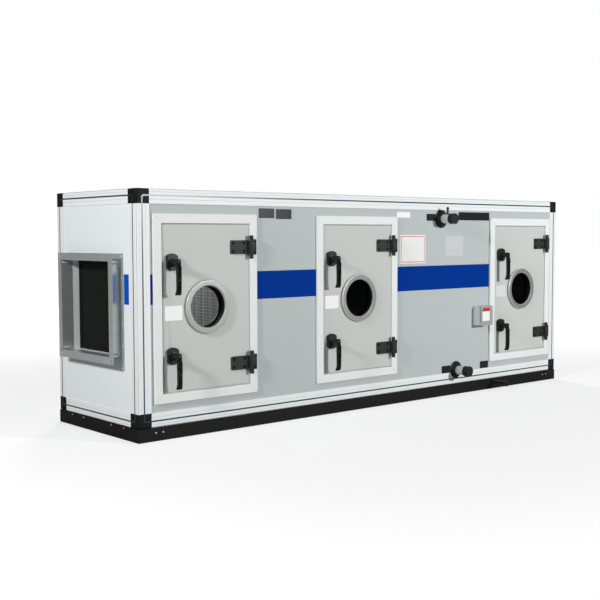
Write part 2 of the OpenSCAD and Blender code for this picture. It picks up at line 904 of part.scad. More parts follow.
module pipe_rosettes() {
    color([0.06, 0.06, 0.06]) place() difference() {
        for (pipe = [[pipe_1_x, pipe_1_z], [pipe_2_x, pipe_2_z]])
            translate([pipe[0], lip_t, pipe[1]]) pipe_rosette();
        low_and_high() translate([face_w, 0, base_h]) cube([cab_l - face_w - face_w, lip_t + cut, face_w]);
    }
}

module pipe_caps() {
    inner = pipe_r + snug_gap;
    color([0.08, 0.08, 0.08]) place() for (pipe = [[pipe_1_x, pipe_1_z], [pipe_2_x, pipe_2_z]])
        translate([pipe[0], -pipe_out, pipe[1]]) rotate([-90, 0, 0]) difference() {
            cylinder(r = inner + cap_t, h = cap_l);
            translate([0, 0, cap_t]) cylinder(r = inner, h = cap_l);
        }
}

// Small bleed valve that screws into the upper pipe
module air_vent() {
    vent_y = -(pipe_out - cap_l) * 2 / 3;
    color([0.75, 0.74, 0.68]) place() translate([pipe_1_x, vent_y, pipe_1_z]) difference() {
        union() {
            translate([0, 0, pipe_r - cut]) cylinder(r = feeder_r, h = vent_h - pipe_r + cut);
            translate([0, 0, pipe_r]) cylinder(r = feeder_r + feeder_r / 2, h = feeder_r, $fn = 6);
            translate([0, 0, vent_h - feeder_r - feeder_r])
                cylinder(r = feeder_r + feeder_r / 2, h = feeder_r);
        }
        y_rod(pipe_r + snug_gap, feeder_r * 2, -feeder_r * 2);
    }
}

module drain_pipe() {
    color([0.08, 0.08, 0.08]) place() translate([drain_x, 0, 0]) {
        translate([0, 0, drain_z]) {
            y_rod(drain_r, drain_y, -drain_out);
            y_rod(socket_r, -drain_out + socket_l, -drain_out);
        }
        translate([0, drain_y, drain_z]) {
            sphere(drain_r);
            cylinder(r = drain_r, h = in_z0 - drain_z);
        }
    }
}

module drain_pan() {
    pan_w = in_y1 - coil_y0;
    color([0.7, 0.72, 0.74]) place() translate([pan_x0, coil_y0, in_z0]) difference() {
        cube([pan_x1 - pan_x0, pan_w, pan_h]);
        translate([pan_t, pan_t, pan_t])
            cube([pan_x1 - pan_x0 - pan_t - pan_t, pan_w - pan_t - pan_t, pan_h]);
    }
}

module switch_box() {
    body_d = box_d - cover_d;
    color([0.72, 0.74, 0.74]) place() translate([box_x, lip_t, box_z]) rotate([90, 0, 0]) {
        linear_extrude(body_d - cover_gap) rounded_rect(box_w, box_h, box_r);
        translate([0, 0, body_d]) linear_extrude(cover_d) rounded_rect(box_w, box_h, box_r);
    }
}

// One collar of folded sheet: back flange, walls and outer flange
module duct_collar() {
    wall_w = duct_w + collar_t + collar_t;
    wall_h = duct_h + collar_t + collar_t;
    rim_w = duct_w + flange_w + flange_w;
    rim_h = duct_h + flange_w + flange_w;
    translate([0, duct_y, duct_z]) difference() {
        union() {
            translate([-collar_out, -wall_w / 2, -wall_h / 2]) cube([collar_out + lip_t, wall_w, wall_h]);
            translate([-collar_out, -rim_w / 2, -rim_h / 2]) cube([collar_t, rim_w, rim_h]);
            translate([lip_t - collar_t, -rim_w / 2, -rim_h / 2 - back_drop])
                cube([collar_t, rim_w, rim_h + back_drop]);
        }
        translate([-collar_out - cut, -duct_w / 2, -duct_h / 2])
            cube([collar_out + core_w, duct_w, duct_h]);
        for (y = [bolt_in - rim_w / 2, rim_w / 2 - bolt_in], z = [bolt_in - rim_h / 2, rim_h / 2 - bolt_in])
            translate([-collar_out - cut, y, z]) rotate([0, 90, 0])
                cylinder(r = bolt_r, h = collar_t + cut + cut);
    }
}

module duct_collars() {
    color([0.6, 0.63, 0.62]) place() both_ends() duct_collar();
}

module inlet_filter() {
    color([0.05, 0.05, 0.05]) place() translate([mesh_in, duct_y - duct_w / 2, duct_z - duct_h / 2])
        difference() {
            cube([mesh_t, duct_w, duct_h]);
            translate([-cut, mesh_bar, mesh_bar])
                cube([mesh_t / 3 + cut, duct_w - mesh_bar - mesh_bar, duct_h - mesh_bar - mesh_bar]);
        }
}

// A frame across the cabinet with a sheet pleated from front to back of the frame
module filter_bank() {
    clear_w = in_w - bank_bar - bank_bar;
    pleats = floor(clear_w / pleat_pitch);
    pitch = clear_w / pleats;
    fold = [for (k = [0 : 2 * pleats]) [k % 2 == 0 ? 0 : bank_d - pleat_t, k * pitch / 2]];
    sheet = concat(fold, [for (k = [2 * pleats : -1 : 0]) [fold[k][0] + pleat_t, fold[k][1]]]);
    color([0.62, 0.64, 0.65]) place() translate([bank_x, core_w, in_z0]) {
        difference() {
            cube([bank_d, in_w, in_h]);
            translate([-cut, bank_bar, bank_bar])
                cube([bank_d + cut + cut, clear_w, in_h - bank_bar - bank_bar]);
        }
        translate([0, bank_bar, bank_bar - cut])
            linear_extrude(in_h - bank_bar - bank_bar + cut + cut) polygon(sheet);
    }
}

// Fin pack in a sheet casing, standing in the drain pan
module coil() {
    z0 = in_z0 + pan_t;
    h = in_z1 - z0;
    w = in_y1 - pan_t - coil_y0 - pan_t;
    color([0.6, 0.62, 0.62]) place() translate([coil_x0, coil_y0 + pan_t, z0]) {
        for (z = [0, h - casing_t]) translate([0, 0, z]) cube([coil_d, w, casing_t]);
        for (y = [0, w - casing_t]) translate([0, y, 0]) cube([coil_d, casing_t, h]);
        translate([fin_in, 0, 0]) cube([coil_d - fin_in - fin_in, w, h]);
    }
}

// Wall across the cabinet that carries the fan's inlet cone
module fan_wall() {
    cone_r = eye_r - eye_gap;
    color([0.7, 0.72, 0.73]) place() {
        translate([fan_x, 0, 0]) difference() {
            translate([0, core_w, in_z0]) cube([fan_wall_t, in_w, in_h]);
            translate([-cut, fan_y, fan_z]) rotate([0, 90, 0])
                cylinder(r = cone_r + cone_flare, h = fan_wall_t + cut + cut);
        }
        translate([fan_x, fan_y, fan_z]) rotate([0, 90, 0]) rotate_extrude() difference() {
            translate([cone_r - wheel_t, 0]) square([cone_flare + wheel_t, cone_l]);
            translate([cone_r + cone_flare, cone_flare + fan_wall_t]) circle(cone_flare);
            translate([cone_r, cone_flare + fan_wall_t]) square([cone_flare + cut, cone_l]);
        }
    }
}

module fan_blade() {
    // An arc from the eye to the rim that leans back against the turning
    arc_r = wheel_r * blade_curve_share;
    intersection() {
        translate([arc_r, 0]) difference() {
            circle(arc_r);
            circle(arc_r - wheel_t);
        }
        difference() {
            circle(wheel_r - cut);
            circle(wheel_hub_r * 3);
        }
        square([wheel_r + wheel_r, wheel_r + wheel_r]);
    }
}

module fan_wheel() {
    depth = shroud_d + blade_w;
    color([0.55, 0.57, 0.6]) place() translate([wheel_x, fan_y, fan_z]) rotate([0, 90, 0]) {
        rotate_extrude() polygon([
            [eye_r, 0],
            [eye_r + wheel_t, 0],
            [wheel_r, shroud_d],
            [wheel_r, shroud_d + wheel_t],
            [eye_r, wheel_t]
        ]);
        translate([0, 0, depth]) difference() {
            cylinder(r = wheel_r, h = wheel_t);
            translate([0, 0, -cut]) cylinder(r = shaft_r + run_gap, h = wheel_t + cut + cut);
        }
        translate([0, 0, depth - hub_l]) difference() {
            cylinder(r = wheel_hub_r, h = hub_l + cut);
            translate([0, 0, -cut]) cylinder(r = shaft_r + run_gap, h = hub_l + cut + cut + cut);
        }
        intersection() {
            for (k = [0 : blades - 1]) rotate([0, 0, k * 360 / blades])
                linear_extrude(depth + cut) fan_blade();
            rotate_extrude() polygon([
                [0, 0],
                [eye_r + wheel_t, wheel_t / 2],
                [wheel_r, shroud_d + wheel_t / 2],
                [wheel_r, depth + cut],
                [0, depth + cut]
            ]);
        }
    }
}

// Motor on its stand, with the shaft in the wheel's hub
module fan_motor() {
    motor_x = wheel_x + shroud_d + blade_w + wheel_t + motor_gap;
    shaft_l = motor_gap + wheel_t + hub_l;
    stand_h = fan_z - motor_r - in_z0;
    color([0.35, 0.4, 0.45]) place() {
        translate([motor_x, fan_y, fan_z]) rotate([0, 90, 0]) {
            cylinder(r = motor_r, h = motor_l);
            translate([0, 0, -shaft_l]) cylinder(r = shaft_r, h = shaft_l + cut);
        }
        translate([motor_x + foot_w, fan_y - stand_w / 2, fan_z - motor_r - stand_t])
            cube([motor_l - foot_w - foot_w, stand_w, stand_t * 3]);
        for (y = [-stand_w / 2, stand_w / 2 - stand_t])
            translate([motor_x + foot_w, fan_y + y, in_z0])
                cube([motor_l - foot_w - foot_w, stand_t, stand_h]);
        for (y = [-stand_w / 2 - foot_w + stand_t, stand_w / 2 - stand_t])
            translate([motor_x, fan_y + y, in_z0]) cube([motor_l, foot_w, stand_t]);
        translate([motor_x + foot_w, fan_y - terminal_w / 2, fan_z + motor_r - stand_t])
            cube([terminal_w, terminal_w, terminal_h]);
    }
}

base_rails();
base_cross_members();
corner_posts();
long_rails();
end_rails();
corner_blocks();
trim_lines();
floor_panel();
top_panel();
back_panels();
left_end_panel();
right_end_panel();
front_panels();
front_panels_at_doors();
blue_band();
door_frame(0);  // door_frame_1
door_frame(1);  // door_frame_2
door_frame(2);  // door_frame_3
door_leaf(0);  // door_leaf_1
door_leaf(1);  // door_leaf_2
door_leaf(2);  // door_leaf_3
porthole_ring(0);  // porthole_ring_1
porthole_ring(1);  // porthole_ring_2
porthole_ring(2);  // porthole_ring_3
porthole_liner(0);  // porthole_liner_1
porthole_liner(1);  // porthole_liner_2
porthole_liner(2);  // porthole_liner_3
porthole_glass(0);  // porthole_glass_1
porthole_glass(1);  // porthole_glass_2
porthole_glass(2);  // porthole_glass_3
hinge_plates(0);  // hinge_plates_1
hinge_plates(1);  // hinge_plates_2
hinge_plates(2);  // hinge_plates_3
frame_hinges();
handle_bases(0);  // handle_bases_1
handle_bases(1);  // handle_bases_2
handle_bases(2);  // handle_bases_3
handle(0, handle_high_rise);  // handle_1_upper
handle(0, handle_low_rise);  // handle_1_lower
handle(1, handle_high_rise);  // handle_2_upper
handle(1, handle_low_rise);  // handle_2_lower
handle(2, handle_high_rise);  // handle_3_upper
handle(2, handle_low_rise);  // handle_3_lower
water_pipes();
pipe_rosettes();
pipe_caps();
air_vent();
drain_pipe();
drain_pan();
switch_box();
duct_collars();
inlet_filter();
filter_bank();
coil();
fan_wall();
fan_wheel();
fan_motor();
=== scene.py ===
# %% [markdown]
# # An air handling unit
#
# The construction is fixed before Blender starts: posts, panels, doors, hinges and pipes come in as
# solids of the real size. This script gives them their finishes and adds what is too fine for the
# construction, such as screws, plates, seals, rivets and wires. Every length is in metres.

# %% Load the fixed frame
import json
import math

import bmesh
import bpy
from mathutils import Matrix, Vector


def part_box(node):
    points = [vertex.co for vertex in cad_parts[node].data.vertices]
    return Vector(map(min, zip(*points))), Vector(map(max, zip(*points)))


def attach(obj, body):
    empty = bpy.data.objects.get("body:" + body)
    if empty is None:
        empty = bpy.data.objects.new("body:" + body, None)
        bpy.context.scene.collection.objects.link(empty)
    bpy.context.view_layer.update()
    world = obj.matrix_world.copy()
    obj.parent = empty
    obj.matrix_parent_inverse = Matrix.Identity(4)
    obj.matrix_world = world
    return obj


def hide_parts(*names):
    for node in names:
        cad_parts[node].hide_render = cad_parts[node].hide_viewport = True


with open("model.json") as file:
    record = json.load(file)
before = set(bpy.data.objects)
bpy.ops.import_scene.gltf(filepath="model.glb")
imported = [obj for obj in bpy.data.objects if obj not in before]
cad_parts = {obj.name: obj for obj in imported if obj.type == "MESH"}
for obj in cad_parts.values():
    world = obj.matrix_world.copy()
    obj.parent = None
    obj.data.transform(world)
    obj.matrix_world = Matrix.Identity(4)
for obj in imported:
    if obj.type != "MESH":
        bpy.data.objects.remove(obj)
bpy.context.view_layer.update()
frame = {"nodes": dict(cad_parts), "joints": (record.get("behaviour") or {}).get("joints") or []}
mm = 0.001

# %% The cabinet's own box, from which many places and patterns are measured
cabinet_low, cabinet_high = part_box("corner_blocks")
HALF_LENGTH = cabinet_high.x
HALF_DEPTH = cabinet_high.y
MIDDLE_HEIGHT = (cabinet_low.z + cabinet_high.z) / 2
HALF_HEIGHT = (cabinet_high.z - cabinet_low.z) / 2
print("cabinet", [round(v, 3) for v in cabinet_high - cabinet_low], "without base, collars and pipes")

# %% [markdown]
# ## Camera
#
# The photograph was taken from the left of the door side, a little below the cabinet's top. A camera is
# a place, three turns and a lens, and all of them were worked out from the cabinet's corners, so they
# are typed here as plain values and not tuned by eye.

# %% Camera
CAMERA_PLACE = Vector((-3.1667, -3.4072, 0.7457))
CAMERA_YAW = math.radians(-40.721)
CAMERA_PITCH = math.radians(-3.608)
CAMERA_ROLL = math.radians(-0.162)
CAMERA_LENS = 60.56
SENSOR_WIDTH = 36

camera_data = bpy.data.cameras.new("camera")
camera_data.sensor_width = SENSOR_WIDTH
camera_data.lens = CAMERA_LENS
camera = bpy.data.objects.new("camera", camera_data)
bpy.context.scene.collection.objects.link(camera)
turn = Matrix.Rotation(CAMERA_YAW, 4, "Z") @ Matrix.Rotation(math.radians(90) + CAMERA_PITCH, 4, "X")
camera.matrix_world = Matrix.Translation(CAMERA_PLACE) @ turn @ Matrix.Rotation(CAMERA_ROLL, 4, "Z")
bpy.context.scene.camera = camera
print("camera at", tuple(CAMERA_PLACE), "with a lens of", CAMERA_LENS)

# %% [markdown]
# ## Shader sums as Python
#
# A node tree is hard to read as a list of links. The small class below wraps one socket and lends it
# Python's operators, so that a mask is written as `(z > low) * (z < high)`. A second class holds one
# material and makes every other node through a single method.


# %% A socket that can be added, scaled and compared
class Link:
    def __init__(self, finish, socket):
        self.finish = finish
        self.socket = socket

    def maths(self, operation, a, b=0.0):
        return self.finish.node("ShaderNodeMath", {"operation": operation}, {0: a, 1: b})

    def __add__(self, other):
        return self.maths("ADD", self, other)

    def __radd__(self, other):
        return self.maths("ADD", other, self)

    def __sub__(self, other):
        return self.maths("SUBTRACT", self, other)

    def __rsub__(self, other):
        return self.maths("SUBTRACT", other, self)

    def __mul__(self, other):
        return self.maths("MULTIPLY", self, other)

    def __rmul__(self, other):
        return self.maths("MULTIPLY", other, self)

    def __truediv__(self, other):
        return self.maths("DIVIDE", self, other)

    def __gt__(self, other):
        return self.maths("GREATER_THAN", self, other)

    def __lt__(self, other):
        return self.maths("LESS_THAN", self, other)

    def __mod__(self, other):
        return self.maths("FLOORED_MODULO", self, other)

    def __abs__(self):
        return self.maths("ABSOLUTE", self)

    def least(self, other):
        return self.maths("MINIMUM", self, other)

    def most(self, other):
        return self.maths("MAXIMUM", self, other)


print("sockets can be added, scaled and compared")


# %% A finish, which is a material being mixed
class Finish:
    def __init__(self, name, color, roughness, metallic=0.0, shine=0.5):
        self.material = bpy.data.materials.new(name)
        self.material.use_nodes = True
        self.tree = self.material.node_tree
        self.shader = self.tree.nodes["Principled BSDF"]
        self.feed("Base Color", (*color, 1.0))
        self.feed("Roughness", roughness)
        self.feed("Metallic", metallic)
        self.feed("Specular IOR Level", shine)
        self.point = self.node("ShaderNodeTexCoord", {}, {}, "Object")
        self.x = self.node("ShaderNodeSeparateXYZ", {}, {0: self.point}, "X")
        self.y = self.node("ShaderNodeSeparateXYZ", {}, {0: self.point}, "Y")
        self.z = self.node("ShaderNodeSeparateXYZ", {}, {0: self.point}, "Z")

    def node(self, kind, settings, values, output=0):
        made = self.tree.nodes.new(kind)
        for key, value in settings.items():
            setattr(made, key, value)
        for key, value in values.items():
            self.plug(made.inputs[key], value)
        return Link(self, made.outputs[output])

    def plug(self, socket, value):
        if isinstance(value, Link):
            self.tree.links.new(value.socket, socket)
        else:
            socket.default_value = value

    def feed(self, socket, value):
        self.plug(self.shader.inputs[socket], value)

    def noise(self, scale, detail=2.0, stretch=(1, 1, 1)):
        point = self.node("ShaderNodeMapping", {}, {"Vector": self.point, "Scale": stretch})
        return self.node("ShaderNodeTexNoise", {}, {"Vector": point, "Scale": scale, "Detail": detail})

    def blend(self, factor, a, b):
        return self.node("ShaderNodeMix", {"data_type": "RGBA"}, {0: factor, 6: a, 7: b}, 2)

    def smooth(self, value, low, high):
        return self.node("ShaderNodeMapRange", {"interpolation_type": "SMOOTHSTEP"},
                         {"Value": value, "From Min": low, "From Max": high})

    def line(self, value, place, width):
        return abs(value - place) < width / 2

    def bump(self, height, depth):
        self.feed("Normal", self.node("ShaderNodeBump", {}, {"Height": height, "Distance": depth}))


def shade(color, factor):
    return (*[c * factor for c in color[:3]], 1.0)


print("shader helpers ready")

# %% [markdown]
# ## Painted and coated sheet
#
# The panels, leaves and frames are coated steel and aluminium. Such a coat isn't quite even: it has a
# fine orange peel, and its tone and shine drift a little over a metre of sheet. A bump of a few
# hundredths of a millimetre and two slow noises give that. Dirt could be drawn the same way, but the
# machine is new. The blue band is painted lighter on the cabinet's ends, as painted light where the
# ends are lit more than the front, so its finish holds two blues and picks one by where a point lies.


# %% Coated sheet
def coated_sheet(name, color, roughness=0.55, peel=0.03 * mm, shine=0.1):
    finish = Finish(name, color, roughness, shine=shine)
    cloud = finish.noise(1.7, 3.0)
    tone = finish.blend(cloud, shade(color, 0.965), shade(color, 1.03))
    finish.feed("Base Color", tone)
    finish.feed("Roughness", roughness + 0.08 * finish.noise(5.0))
    finish.bump(finish.noise(420.0), peel)
    return finish


PANEL_GREY = (0.455, 0.498, 0.497)
END_WHITE = (0.745, 0.795, 0.805)
FRAME_WHITE = (0.78, 0.805, 0.795)
DOOR_WHITE = (0.745, 0.77, 0.758)
LEAF_GREY = (0.53, 0.555, 0.53)
BAND_BLUE = (0.0, 0.032, 0.255)
BAND_END_BLUE_LIT = (0.002, 0.078, 0.43)
BAND_TURN = 4 * mm
panel_grey = coated_sheet("panel_grey", PANEL_GREY)
end_white = coated_sheet("end_white", END_WHITE)
leaf_grey = coated_sheet("leaf_grey", LEAF_GREY, 0.5)
band_blue = coated_sheet("band_blue", BAND_BLUE, 0.55, 0.01 * mm, 0.02)
# The band is painted lighter on the cabinet's ends: painted light, where the ends are lit more than the
# front.
on_lit_end = abs(band_blue.x) > HALF_LENGTH - BAND_TURN
band_tone_lit_ends = band_blue.blend(on_lit_end, shade(BAND_BLUE, 1.0), shade(BAND_END_BLUE_LIT, 1.0))
band_blue.feed("Base Color", band_tone_lit_ends)
print("sheet finishes", panel_grey.material.name, end_white.material.name, leaf_grey.material.name)

# %% [markdown]
# ## Aluminium profiles, black plastics and the blue trim
#
# An extruded profile keeps fine draw lines along its length under the white coat, and its two grooves
# are painted darker, as painted shade in them. Moulded nylon has an even grain and a soft shine. Both
# are small bumps on a plain colour. The trim is a thin strip let into the profiles, which looks darker
# over the black corner blocks. The switch box's cover is darker than its body, partly as two-tone
# plastic and partly as painted shade on its front. Both finishes measure where a point lies, so that
# one material can hold two colours.


# %% Profiles and plastics
GROOVES = (12.5 * mm, 39 * mm)
GROOVE_WIDTH = 1.2 * mm
GROOVE_DEPTH = 0.4 * mm


def drawn_profile(name, color, stretch, across):
    finish = Finish(name, color, 0.45, shine=0.2)
    lines = finish.noise(600.0, 1.0, stretch)
    from_edges = {
        "x": HALF_LENGTH - abs(finish.x),
        "y": HALF_DEPTH - abs(finish.y),
        "z": HALF_HEIGHT - abs(finish.z - MIDDLE_HEIGHT),
    }
    from_edge = from_edges[across[0]].most(from_edges[across[1]])
    outer_groove = finish.line(from_edge, GROOVES[0], GROOVE_WIDTH)
    inner_groove = finish.line(from_edge, GROOVES[1], GROOVE_WIDTH)
    groove_and_shade = outer_groove.most(inner_groove)
    coat = finish.blend(lines, shade(color, 0.97), shade(color, 1.02))
    # The grooves are painted darker, as painted shade in them; the bump gives them their depth.
    finish.feed("Base Color", finish.blend(groove_and_shade, coat, shade(color, 0.75)))
    finish.feed("Roughness", 0.42 + 0.1 * lines)
    finish.bump(0.05 * lines - groove_and_shade, GROOVE_DEPTH)
    return finish


def moulded(name, color, roughness=0.45, grain=0.02 * mm, shine=0.2, drift=0.2):
    finish = Finish(name, color, roughness, shine=shine)
    cloud = finish.noise(60.0)
    finish.feed("Base Color", finish.blend(cloud, shade(color, 1 - drift), shade(color, 1 + drift)))
    finish.feed("Roughness", roughness - 0.06 + 0.14 * finish.noise(140.0))
    finish.bump(finish.noise(1500.0), grain)
    return finish


BLACK = (0.007, 0.0075, 0.0075)
profile_upright = drawn_profile("profile_upright", FRAME_WHITE, (1, 1, 0.01), "xy")
profile_long = drawn_profile("profile_long", FRAME_WHITE, (0.01, 1, 1), "yz")
profile_end = drawn_profile("profile_end", FRAME_WHITE, (1, 0.01, 1), "xz")
corner_black = moulded("corner_black", BLACK, 0.55, shine=0.1)
nylon_black = moulded("nylon_black", (0.013, 0.0145, 0.014), 0.38, 0.006 * mm)
screw_black = moulded("screw_black", (0.003, 0.003, 0.003), 0.5, 0.006 * mm, 0.1)
hinge_black = moulded("hinge_black", (0.025, 0.028, 0.0265), 0.5, 0.006 * mm, 0.15)
rubber_black = moulded("rubber_black", (0.008, 0.008, 0.008), 0.5)
lip_grey = moulded("lip_grey", (0.5, 0.52, 0.5), 0.6, 0.02 * mm, 0.2, 0.05)
liner_black = moulded("liner_black", (0.006, 0.006, 0.006), 0.55)
drain_black = moulded("drain_black", (0.01, 0.01, 0.01), 0.4)
vent_black = moulded("vent_black", (0.03, 0.03, 0.03), 0.3, 0.01 * mm)
print("plastic finishes ready")


# %% Blue trim, darker where it crosses the black corner blocks
BLOCK_SIZE = 55 * mm


def trim_strip(name, color):
    finish = Finish(name, color, 0.3)
    in_x = abs(finish.x) > HALF_LENGTH - BLOCK_SIZE
    in_y = abs(finish.y) > HALF_DEPTH - BLOCK_SIZE
    in_z = abs(finish.z - MIDDLE_HEIGHT) > HALF_HEIGHT - BLOCK_SIZE
    corner = in_x * in_y * in_z
    finish.feed("Base Color", finish.blend(corner, shade(color, 1.0), shade(color, 0.3)))
    finish.bump(finish.noise(300.0), 0.02 * mm)
    return finish


trim_blue = trim_strip("trim_blue", (0.004, 0.055, 0.11))
print("trim finish ready, darker within", round(BLOCK_SIZE / mm), "mm of a corner")

# %% Switch box, with a cover painted darker than its body, partly two-tone and partly painted shade on its front
COVER_DEPTH = 8 * mm


def two_tone_shaded_box(name, body, cover):
    finish = Finish(name, body, 0.4, shine=0.4)
    # The front cover's darker colour is partly two-tone plastic and partly painted shade on the box's front.
    on_shaded_cover = finish.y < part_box("switch_box")[0].y + COVER_DEPTH
    drift = finish.noise(40.0)
    finish.feed("Base Color", finish.blend(on_shaded_cover, shade(body, 1.0), shade(cover, 1.0)))
    finish.feed("Roughness", 0.36 + 0.08 * drift)
    finish.bump(finish.noise(1500.0), 0.02 * mm)
    return finish


box_grey = two_tone_shaded_box("box_grey", (0.6, 0.63, 0.64), (0.31, 0.325, 0.325))
print("switch box finish ready")

# %% [markdown]
# ## Bare metal
#
# Galvanised sheet shows large crystals, each of its own brightness. A Voronoi texture gives every cell
# one random value, and that value moves the colour and the roughness a little. A porthole ring is
# turned metal, satin on its face, with a painted highlight along its two edges, so its finish
# measures how far a point is from the ring's middle.


# %% Galvanised, satin and painted steel
def galvanised(name, color, crystal=110.0, metallic=0.85, roughness=0.36, sparkle=0.09):
    finish = Finish(name, color, roughness, metallic)
    cell = finish.node("ShaderNodeTexVoronoi", {}, {"Vector": finish.point, "Scale": crystal}, "Color")
    grain = finish.node("ShaderNodeSeparateXYZ", {}, {0: cell}, "X")
    finish.feed("Base Color", finish.blend(grain, shade(color, 1 - sparkle), shade(color, 1 + sparkle)))
    finish.feed("Roughness", roughness + 0.6 * sparkle * grain + 0.06 * finish.noise(9.0))
    finish.bump(finish.noise(300.0), 0.06 * sparkle * mm)
    return finish


zinc_pipe = galvanised("zinc_pipe", (0.66, 0.67, 0.66), 260.0, 0.5)
zinc_collar = galvanised("zinc_collar", (0.61, 0.655, 0.645), 45.0, 0.68, 0.26, 0.03)
rivet_white = moulded("rivet_white", (0.85, 0.85, 0.83), 0.4, 0.005 * mm, 0.4, 0.02)
rivet_dark = moulded("rivet_dark", (0.02, 0.02, 0.02), 0.5, 0.005 * mm)
zinc_pan = galvanised("zinc_pan", (0.6, 0.62, 0.62))
wire_zinc = galvanised("wire_zinc", (0.75, 0.77, 0.76), 200.0, 0.3)
vent_metal = galvanised("vent_metal", (0.75, 0.74, 0.7), 900.0)
base_black = coated_sheet("base_black", (0.008, 0.008, 0.008), 0.5, 0.06 * mm, 0.12)
wheel_grey = coated_sheet("wheel_grey", (0.035, 0.037, 0.04), 0.4)
motor_blue = coated_sheet("motor_blue", (0.06, 0.09, 0.13), 0.4, 0.08 * mm)


RING_BAR = 22 * mm
EDGE_HIGHLIGHT_WIDTH = 2.5 * mm


def satin_ring(name, color, node):
    finish = Finish(name, color, 0.35, 0.4)
    low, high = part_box(node)
    from_x = finish.x - (low.x + high.x) / 2
    from_z = finish.z - (low.z + high.z) / 2
    square = from_x * from_x + from_z * from_z
    radius = square.maths("SQRT", square)
    outer = (high.x - low.x) / 2
    # A painted highlight along the ring's outer and inner edges, where its turned edges catch the light.
    painted_edge_highlight = (radius > outer - EDGE_HIGHLIGHT_WIDTH).most(radius < outer - RING_BAR + EDGE_HIGHLIGHT_WIDTH)
    satin = finish.blend(finish.noise(30.0), shade(color, 0.95), shade(color, 1.05))
    finish.feed("Base Color", finish.blend(painted_edge_highlight, satin, shade(color, 2.0)))
    finish.feed("Roughness", 0.3 + 0.06 * finish.noise(200.0))
    finish.bump(finish.noise(900.0), 0.01 * mm)
    return finish


RING_GREY = (0.28, 0.295, 0.288)
ring_finishes = [satin_ring(f"ring_{i}_satin", RING_GREY, f"porthole_ring_{i}") for i in (1, 2, 3)]
print("metal finishes ready")

# %% [markdown]
# ## Filters, fins and panes
#
# The inlet mesh and the coil's fins are far too fine to model, so a mask that repeats draws them and a
# small bump gives them depth; the gaps between the fins are painted dark, as painted shade. The
# pleated filter is modelled, and its cloth gets painted shade down in its folds. The first pane is
# clear, so its alpha is low, and the other two are almost opaque and black, as painted shade for the
# dark inside.

# %% Filters, fins and the panes
MESH_PITCH = 4 * mm
MESH_WIRE_SHARE = 0.18
FIN_PITCH = 2.5 * mm
FIN_SHARE = 0.22
PLEAT_TIP = 2 * mm
PLEAT_DEEP = 40 * mm
PANE_BLACK = (0.001, 0.0015, 0.0015)


def woven_mesh(name, color):
    finish = Finish(name, color, 0.6, shine=0.1)
    across = abs((finish.y / MESH_PITCH) % 1.0 - 0.5) < MESH_WIRE_SHARE
    along = abs((finish.z / MESH_PITCH) % 1.0 - 0.5) < MESH_WIRE_SHARE
    wire = across.most(along)
    finish.feed("Base Color", finish.blend(wire, shade(color, 0.4), shade(color, 1.5)))
    finish.bump(wire, 0.4 * mm)
    return finish


def pleated_cloth(name, color):
    finish = Finish(name, color, 0.85, shine=0.1)
    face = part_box("filter_bank")[0].x
    # The cloth is painted darker down in its folds, as painted shade.
    painted_fold_shade = finish.smooth(finish.x, face + PLEAT_TIP, face + PLEAT_DEEP)
    weave = finish.blend(finish.noise(160.0, 4.0), shade(color, 0.85), shade(color, 1.1))
    finish.feed("Base Color", finish.blend(painted_fold_shade, weave, shade(color, 0.25)))
    finish.bump(finish.noise(900.0, 4.0), 0.3 * mm)
    return finish


def fin_pack(name, color):
    finish = Finish(name, color, 0.35, 0.8)
    # The gaps between the fins are painted dark, as painted shade between them.
    fin_against_gap_shade = abs((finish.y / FIN_PITCH) % 1.0 - 0.5) < FIN_SHARE
    finish.feed("Base Color", finish.blend(fin_against_gap_shade, shade(color, 0.2), shade(color, 1.0)))
    finish.bump(fin_against_gap_shade, 1.0 * mm)
    return finish


def pane_glass(name, alpha, shine):
    finish = Finish(name, PANE_BLACK, 0.04, shine=shine)
    finish.feed("Alpha", alpha)
    finish.feed("Roughness", 0.03 + 0.03 * finish.noise(6.0))
    return finish


inlet_black = woven_mesh("inlet_black", (0.007, 0.008, 0.007))
filter_cloth = pleated_cloth("filter_cloth", (0.62, 0.63, 0.61))
coil_fins = fin_pack("coil_fins", (0.6, 0.62, 0.62))
pane_clear = pane_glass("pane_clear", 0.1, 0.15)
# The second and third panes are almost opaque and black, as painted shade standing in for the dark inside
# behind them.
pane_black_as_shade = pane_glass("pane_black_as_shade", 0.98, 0.05)
print("filter, fin and pane finishes ready")

# %% [markdown]
# ## Door frames
#
# Each door frame is four white bars cut at 45 degrees and pushed together. The cut is only a hair line,
# so it is drawn by the finish: a point is on it where its distances from the nearest upright and the
# nearest level edge are the same. Each door has its own edges, so each gets its own copy of the finish.


# %% White door frames with mitred corners
MITRE_HALF = 0.35 * mm
FRAME_LIP = 9 * mm


def mitred_frame(name, color, node):
    low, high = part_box(node)
    finish = coated_sheet(name, color, 0.5)
    from_side = (finish.x - low.x).least(high.x - finish.x)
    from_end = (finish.z - low.z).least(high.z - finish.z)
    cut = abs(from_side - from_end) < MITRE_HALF
    on_face = finish.y < low.y + FRAME_LIP
    finish.feed("Base Color", finish.blend(cut * on_face, shade(color, 1.0), shade(color, 0.35)))
    return finish


door_frames = [mitred_frame(f"door_frame_{i}_white", DOOR_WHITE, f"door_frame_{i}") for i in (1, 2, 3)]
print(len(door_frames), "door frame finishes")

# %% [markdown]
# ## Dressing the fixed nodes
#
# A finish goes on a node by the node's name. The nodes keep their meshes and their places, and only
# their list of materials changes. Names that repeat for the three doors are made by a loop.


# %% Dress the fixed nodes
def dress(finish, *names):
    for name in names:
        materials = frame["nodes"][name].data.materials
        materials.clear()
        materials.append(finish.material)


def by_door(stem):
    return [f"{stem}_{i}" for i in (1, 2, 3)]


